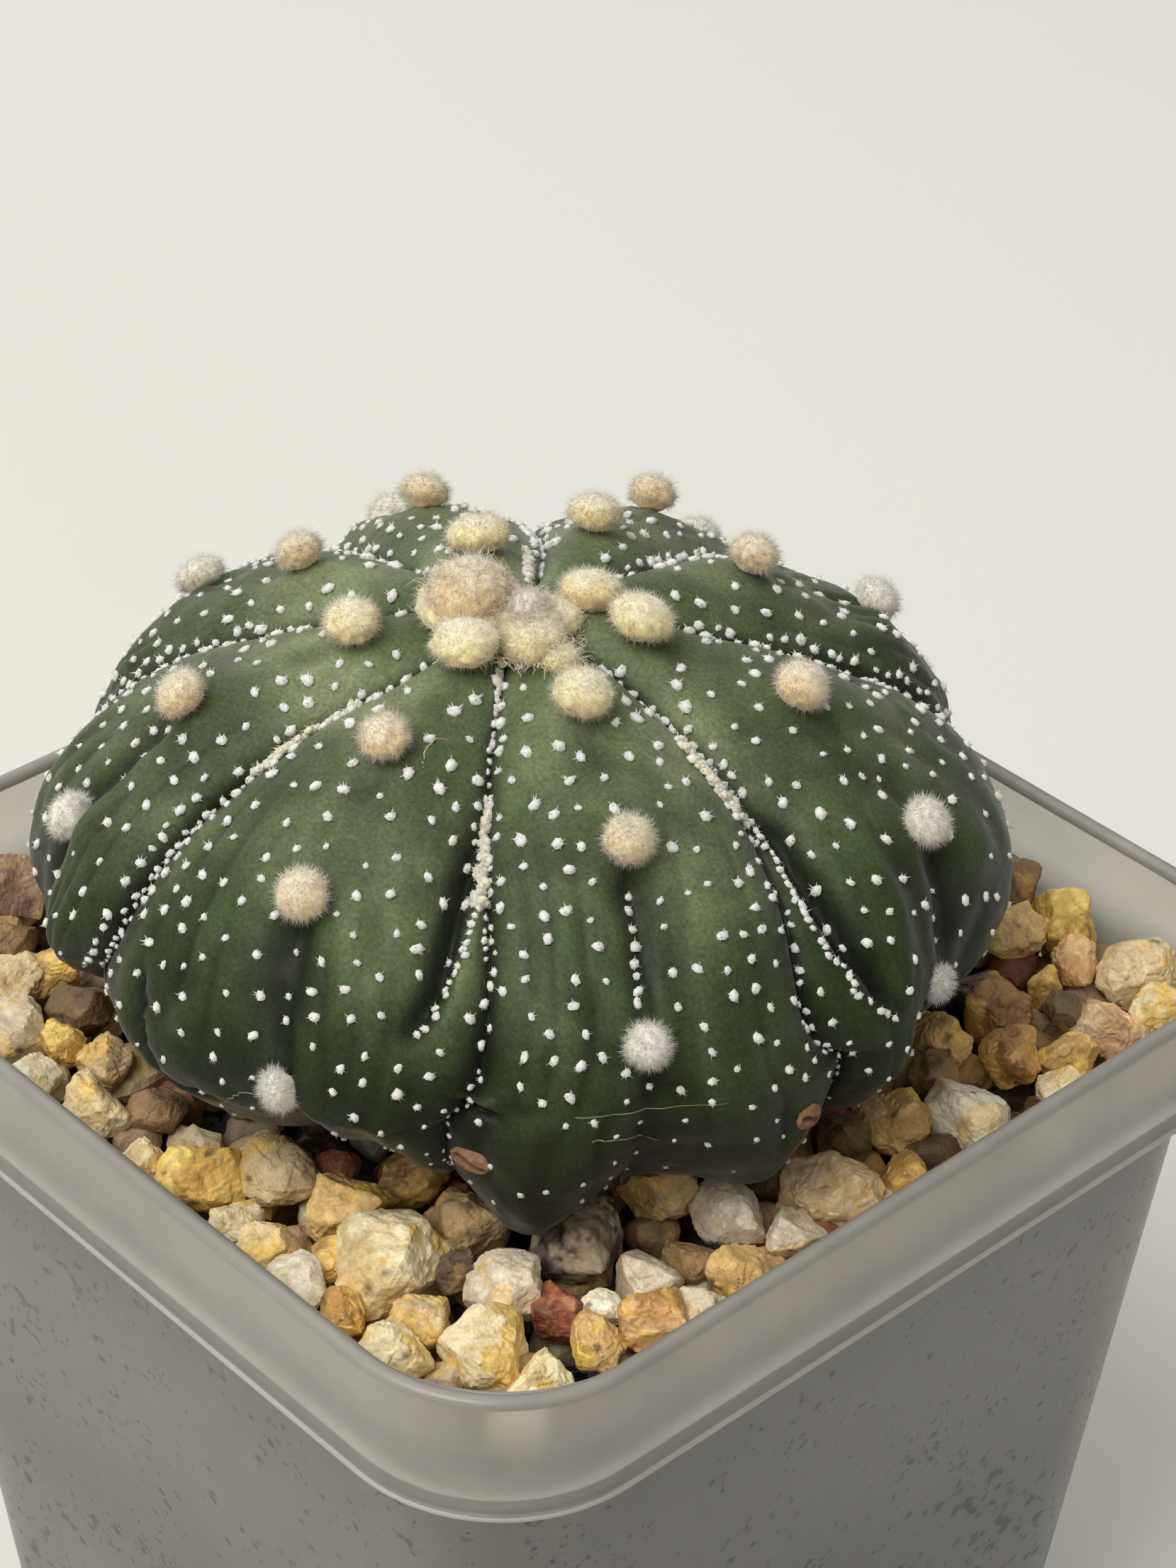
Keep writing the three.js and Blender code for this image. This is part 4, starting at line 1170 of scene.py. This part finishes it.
def stone_tint(points, facets, kind, pits, index, rng):
    """Each facet has its own shade, with patches, stains and dirt, and the colour darker in the pits."""
    main, patch, stain = (tone(*colour) for colour in STONE_KINDS[kind][:3])
    base = main * rng.uniform(0.86, 1.08) * rng.uniform(0.97, 1.03, 3)
    patches = layered(points, 2.6, index + 40) + rng.uniform(-0.35, 0.35)
    stains = layered(points, 1.7, index + 44) + rng.uniform(-0.3, 0.25)
    colour = painted(base, (patch, smooth(patches, -0.1, 0.45)), (stain, 0.9 * smooth(stains, 0.15, 0.5)))
    colour = colour * rng.uniform(0.86, 1.12, MOST_FACETS)[facets][:, None]
    grains = noise(points, 0.55, index + 50)
    if kind == "granite":
        pale = smooth(layered(points, 1.1, index + 52), 0.3, 0.6)
        colour = painted(colour, (GRANITE_PALE, pale), (GRANITE_DARK, smooth(-grains, 0.3, 0.6)))
    colour = painted(
        colour,
        (stain * 0.7, 0.55 * smooth(0.2 - pits, 0, 0.2)),
        (main, 0.5 * smooth(pits, 0.45, 0.8)),
        (DIRT, 0.75 * smooth(layered(points, 1.2, index + 60), 0.8, 1.15)),
    )
    return colour * (1 + 0.12 * grains)[:, None]


def build_gravel():
    fine, plain = geodesic(13), geodesic(9)
    groups = {"gravel_" + place: [] for place in ("left", "right", "fill", "glassy", "under")}
    for index, (x, y, length, kind) in enumerate(stone_places()):
        landmark = index < len(LANDMARK_STONES)
        name = "gravel_fill"
        if kind in GLASSY_KINDS:
            name = "gravel_glassy"
        elif landmark:
            name = "gravel_left" if x + y < 0 else "gravel_right"
        groups[name].append(stone_mesh(x, y, length, kind, index, fine if landmark else plain))
    rng = np.random.default_rng(84)
    under = groups["gravel_under"]
    for fall, shade, steps in LOWER_LAYERS:
        small = geodesic(steps)
        for place in lower_places(rng):
            kind = list(STONE_KINDS)[rng.integers(len(STONE_KINDS))]
            points, faces, tints = stone_mesh(*place, kind, 500 + len(under), small)
            # The stones below are painted darker, as painted shade in the gaps between those on top
            under.append((kept_inside(points - (0, 0, fall)), faces, tints * shade))
    dry = Finish("gravel_finish", Specular_IOR_Level=0.4)
    dry.mottle(0.6, 0.12).mottle(0.2, 0.14).rough(0.6, 0.35, 0.75).bump(0.3, 0.08)
    glassy = Finish("gravel_glassy_finish", Specular_IOR_Level=0.55, Subsurface_Weight=0.3,
                    Subsurface_Radius=(0.0015, 0.001, 0.0006))
    glassy.mottle(1.2, 0.16).mottle(0.3, 0.1).rough(0.7, 0.22, 0.5).bump(0.8, 0.12).bump(0.22, 0.04)
    for name, stones in groups.items():
        finish = glassy if name == "gravel_glassy" else dry
        replaced = "gravel" if name == "gravel_left" else None
        add_piece(name, stones, finish, replaced, crystalline=True)


# Pot and potting mix

def pot_half(height):
    """Half width of the pot's body."""
    return BODY_HALF_TOP - (BODY_TOP - height) * BODY_TAPER


def square_ring(half, corner, height):
    """Points round a square with round corners."""
    angles = (np.arange(4)[:, None] + np.linspace(0, 1, CORNER_STEPS + 1)) * math.pi / 2
    middles = (np.arange(4)[:, None] + 0.5) * math.pi / 2 + 0 * angles
    reach = (half - corner) * math.sqrt(2)
    x = reach * np.cos(middles) + corner * np.cos(angles)
    y = reach * np.sin(middles) + corner * np.sin(angles)
    return np.stack([x, y, height + 0 * angles], axis=-1).reshape(-1, 3)


def square_loft(sections):
    """Closed skin through a rounded square for each (half width, height)."""
    rings = []
    for half, height in sections:
        corner = RIM_CORNER + half - RIM_HALF + max(BODY_TOP - height, 0) * (BODY_TAPER - CORNER_TAPER)
        rings.append(square_ring(half, corner, height))
    ends = [(0, 0, sections[0][1]), (0, 0, sections[-1][1])]
    return np.concatenate([*rings, ends]), capped_faces(len(rings[0]), len(rings))


def drill(piece, places):
    """Cuts round holes down through a piece, and applies the cut."""
    for x, y in places:
        bpy.ops.mesh.primitive_cylinder_add(
            vertices=DRAIN_SIDES, radius=DRAIN_RADIUS * MM, depth=4 * WALL * MM,
            location=(x * MM, y * MM, WALL / 2 * MM))
        cutter = bpy.context.active_object
        cut = piece.modifiers.new("drain", "BOOLEAN")
        cut.object = cutter
        cut.solver = "EXACT"
        bpy.context.view_layer.update()
        shaped = piece.evaluated_get(bpy.context.evaluated_depsgraph_get())
        mesh = bpy.data.meshes.new_from_object(shaped)
        piece.modifiers.clear()
        piece.data = mesh
        bpy.data.objects.remove(cutter)


def build_pot():
    middle = BODY_TOP / 2
    shelf = BODY_TOP + SHELF_THICKNESS
    collar = RIM_HALF - COLLAR_LEAN
    room = RIM_HALF - WALL - COLLAR_LEAN / 2
    points, faces = square_loft([
        (pot_half(0) - 0.7, 0),
        (pot_half(0) - 0.2, 0.15),
        (pot_half(0.7), 0.7),
        (pot_half(middle), middle),
        (pot_half(BODY_TOP - 0.6), BODY_TOP - 0.6),
        (BODY_HALF_TOP + 0.25, BODY_TOP - 0.15),
        (BODY_HALF_TOP + 0.6, BODY_TOP),
        (collar - 0.3, BODY_TOP),
        (collar - 0.04, BODY_TOP + 0.1),
        (collar + 0.08, BODY_TOP + 0.3),
        (collar - 0.02, BODY_TOP + 0.52),
        (collar - 0.1, BODY_TOP + 0.7),
        (RIM_HALF - COLLAR_LEAN / 2, BODY_TOP + COLLAR_HEIGHT / 2),
        *((RIM_HALF - WALL / 2 + WALL / 2 * math.cos(angle), POT_HEIGHT - 0.5 + 0.5 * math.sin(angle))
          for angle in np.linspace(0, math.pi, 9)),
        (room, shelf + 0.4),
        (room - 0.4, shelf),
        (BODY_HALF_TOP - WALL + 0.3, shelf),
        (BODY_HALF_TOP - WALL, shelf - 0.3),
        (pot_half(middle) - WALL, middle),
        (pot_half(WALL) - WALL, WALL + 0.4),
        (pot_half(WALL) - WALL - 0.5, WALL),
    ])
    tints = mix(COLLAR_TONE, FILLED_TONE, smooth(-points[:, 2], -BODY_TOP - 0.3, -BODY_TOP))
    finish = Finish("frosted_plastic", IOR=1.46, Transmission_Weight=0.84, Specular_IOR_Level=0.4)
    finish.mottle(9, 0.05).mottle(2.5, 0.04)
    for specks in ((1.15, 9, 0.965, 0.12), (0.6, 5, 1, 0.1)):
        finish.marks(finish.below(finish.clustered(*specks), GRIT_TOP), GRIT)
    finish.rough(3, 0.29, 0.33).bump(2.5, 0.02)
    pot = add_piece("nursery_pot", [(points, faces, tints)], finish, "pot")
    drill(pot, itertools.product((-DRAIN_PLACE, DRAIN_PLACE), repeat=2))


def build_pot_edges():
    """Milky beads in the lip and along the collar's lower edge, where the plastic is thickest, and partly a
    painted highlight for the bright lines there.
    """
    parts = []
    for half, height, radius in MILKY_HIGHLIGHT_BEADS:
        angles = np.arange(EDGE_SIDES) * 2 * math.pi / EDGE_SIDES
        points = np.concatenate([
            square_ring(half + radius * math.cos(angle), RIM_CORNER, height + radius * math.sin(angle))
            for angle in angles])
        faces = ring_faces(len(points) // EDGE_SIDES, EDGE_SIDES, closed=True)
        parts.append((points, faces, np.tile(EDGE_HIGHLIGHT_TONE, (len(points), 1))))
    finish = Finish("milky_plastic", IOR=1.46, Roughness=0.4, Transmission_Weight=0.2)
    add_piece("pot_edge_highlights", parts, finish.mottle(5, 0.04))


def build_soil():
    points, faces = square_loft([
        (pot_half(SOIL_BOTTOM) - WALL - 0.3, SOIL_BOTTOM),
        (pot_half(SOIL_TOP / 2) - WALL - 0.1, SOIL_TOP / 2),
        (pot_half(SOIL_TOP) - WALL - 0.1, SOIL_TOP),
    ])
    tints = np.tile(SOIL_TONE, (len(points), 1))
    finish = Finish("potting_mix_finish", Specular_IOR_Level=0.2, Roughness=0.95)
    finish.mottle(6, 0.1).mottle(1.5, 0.14).mottle(0.4, 0.14)
    finish.marks(finish.clustered(1.1, 7, 0.93, 0.04), tone(22, 21, 20))
    finish.marks(finish.clustered(0.7, 4, 0.95, 0.03), tone(18, 17, 16))
    add_piece("potting_mix", [(points, faces, tints)], finish.bump(1.2, 0.2), "soil")


# Camera, floor and light

def add_camera():
    data = bpy.data.cameras.new("camera")
    data.sensor_fit = "VERTICAL"
    data.sensor_height = SENSOR_HEIGHT
    data.lens = CAMERA_LENS
    data.clip_start = 0.01
    place = Matrix.Translation(Vector(CAMERA_PLACE) * MM)
    for degrees, axis in ((CAMERA_AZIMUTH, "Z"), (90 - CAMERA_ELEVATION, "X"), (CAMERA_ROLL, "Z")):
        place = place @ Matrix.Rotation(math.radians(degrees), 4, axis)
    camera = add_object("camera", data)
    camera.matrix_world = place
    bpy.context.scene.camera = camera


def add_floor():
    corners = np.array([(-1, -1, 0), (1, -1, 0), (1, 1, 0), (-1, 1, 0)]) * FLOOR_REACH
    mesh = bpy.data.meshes.new("floor")
    mesh.from_pydata(corners.tolist(), [], [(0, 1, 2, 3)])
    material = bpy.data.materials.new("floor_paper")
    material.use_nodes = True
    shader = material.node_tree.nodes["Principled BSDF"]
    shader.inputs["Base Color"].default_value = (*FLOOR_TONE, 1)
    shader.inputs["Roughness"].default_value = 0.9
    shader.inputs["Specular IOR Level"].default_value = 0.1
    mesh.materials.append(material)
    add_object("floor", mesh)


def add_sky():
    """Soft light that is strongest from above and a little to the left, and weak near the horizon."""
    world = bpy.data.worlds.new("studio")
    world.use_nodes = True
    tree = world.node_tree
    direction = add_node(tree, "TexCoord").outputs["Generated"]
    facing = add_node(tree, "VectorMath", {0: direction, 1: SKY_BRIGHTEST}, operation="DOT_PRODUCT")
    limits = {"From Min": SKY_FACING, "From Max": 1, "To Min": SKY_LOW, "To Max": SKY_HIGH}
    strength = add_node(
        tree, "MapRange", {"Value": facing.outputs["Value"], **limits}, interpolation_type="SMOOTHSTEP")
    background = tree.nodes["Background"]
    background.inputs["Color"].default_value = (*SKY_COLOUR, 1)
    tree.links.new(strength.outputs["Result"], background.inputs["Strength"])
    bpy.context.scene.world = world
    bpy.context.scene.view_settings.view_transform = "Standard"


def add_lamps():
    for name, (place, size, power, colour) in LAMPS.items():
        data = bpy.data.lights.new(name, "AREA")
        data.shape = "DISK"
        data.size = size
        data.energy = power
        data.color = colour
        lamp = add_object(name, data)
        lamp.visible_camera = False
        aim = Vector(LAMP_AIM) - Vector(place)
        lamp.matrix_world = Matrix.Translation(place) @ aim.to_track_quat("-Z", "Y").to_matrix().to_4x4()


add_camera()
add_floor()
add_sky()
add_lamps()
build_cactus_body()
build_areoles()
build_flecks()
build_crease_wool()
build_skin_marks()
build_crown()
build_gravel()
build_soil()
build_pot()
build_pot_edges()
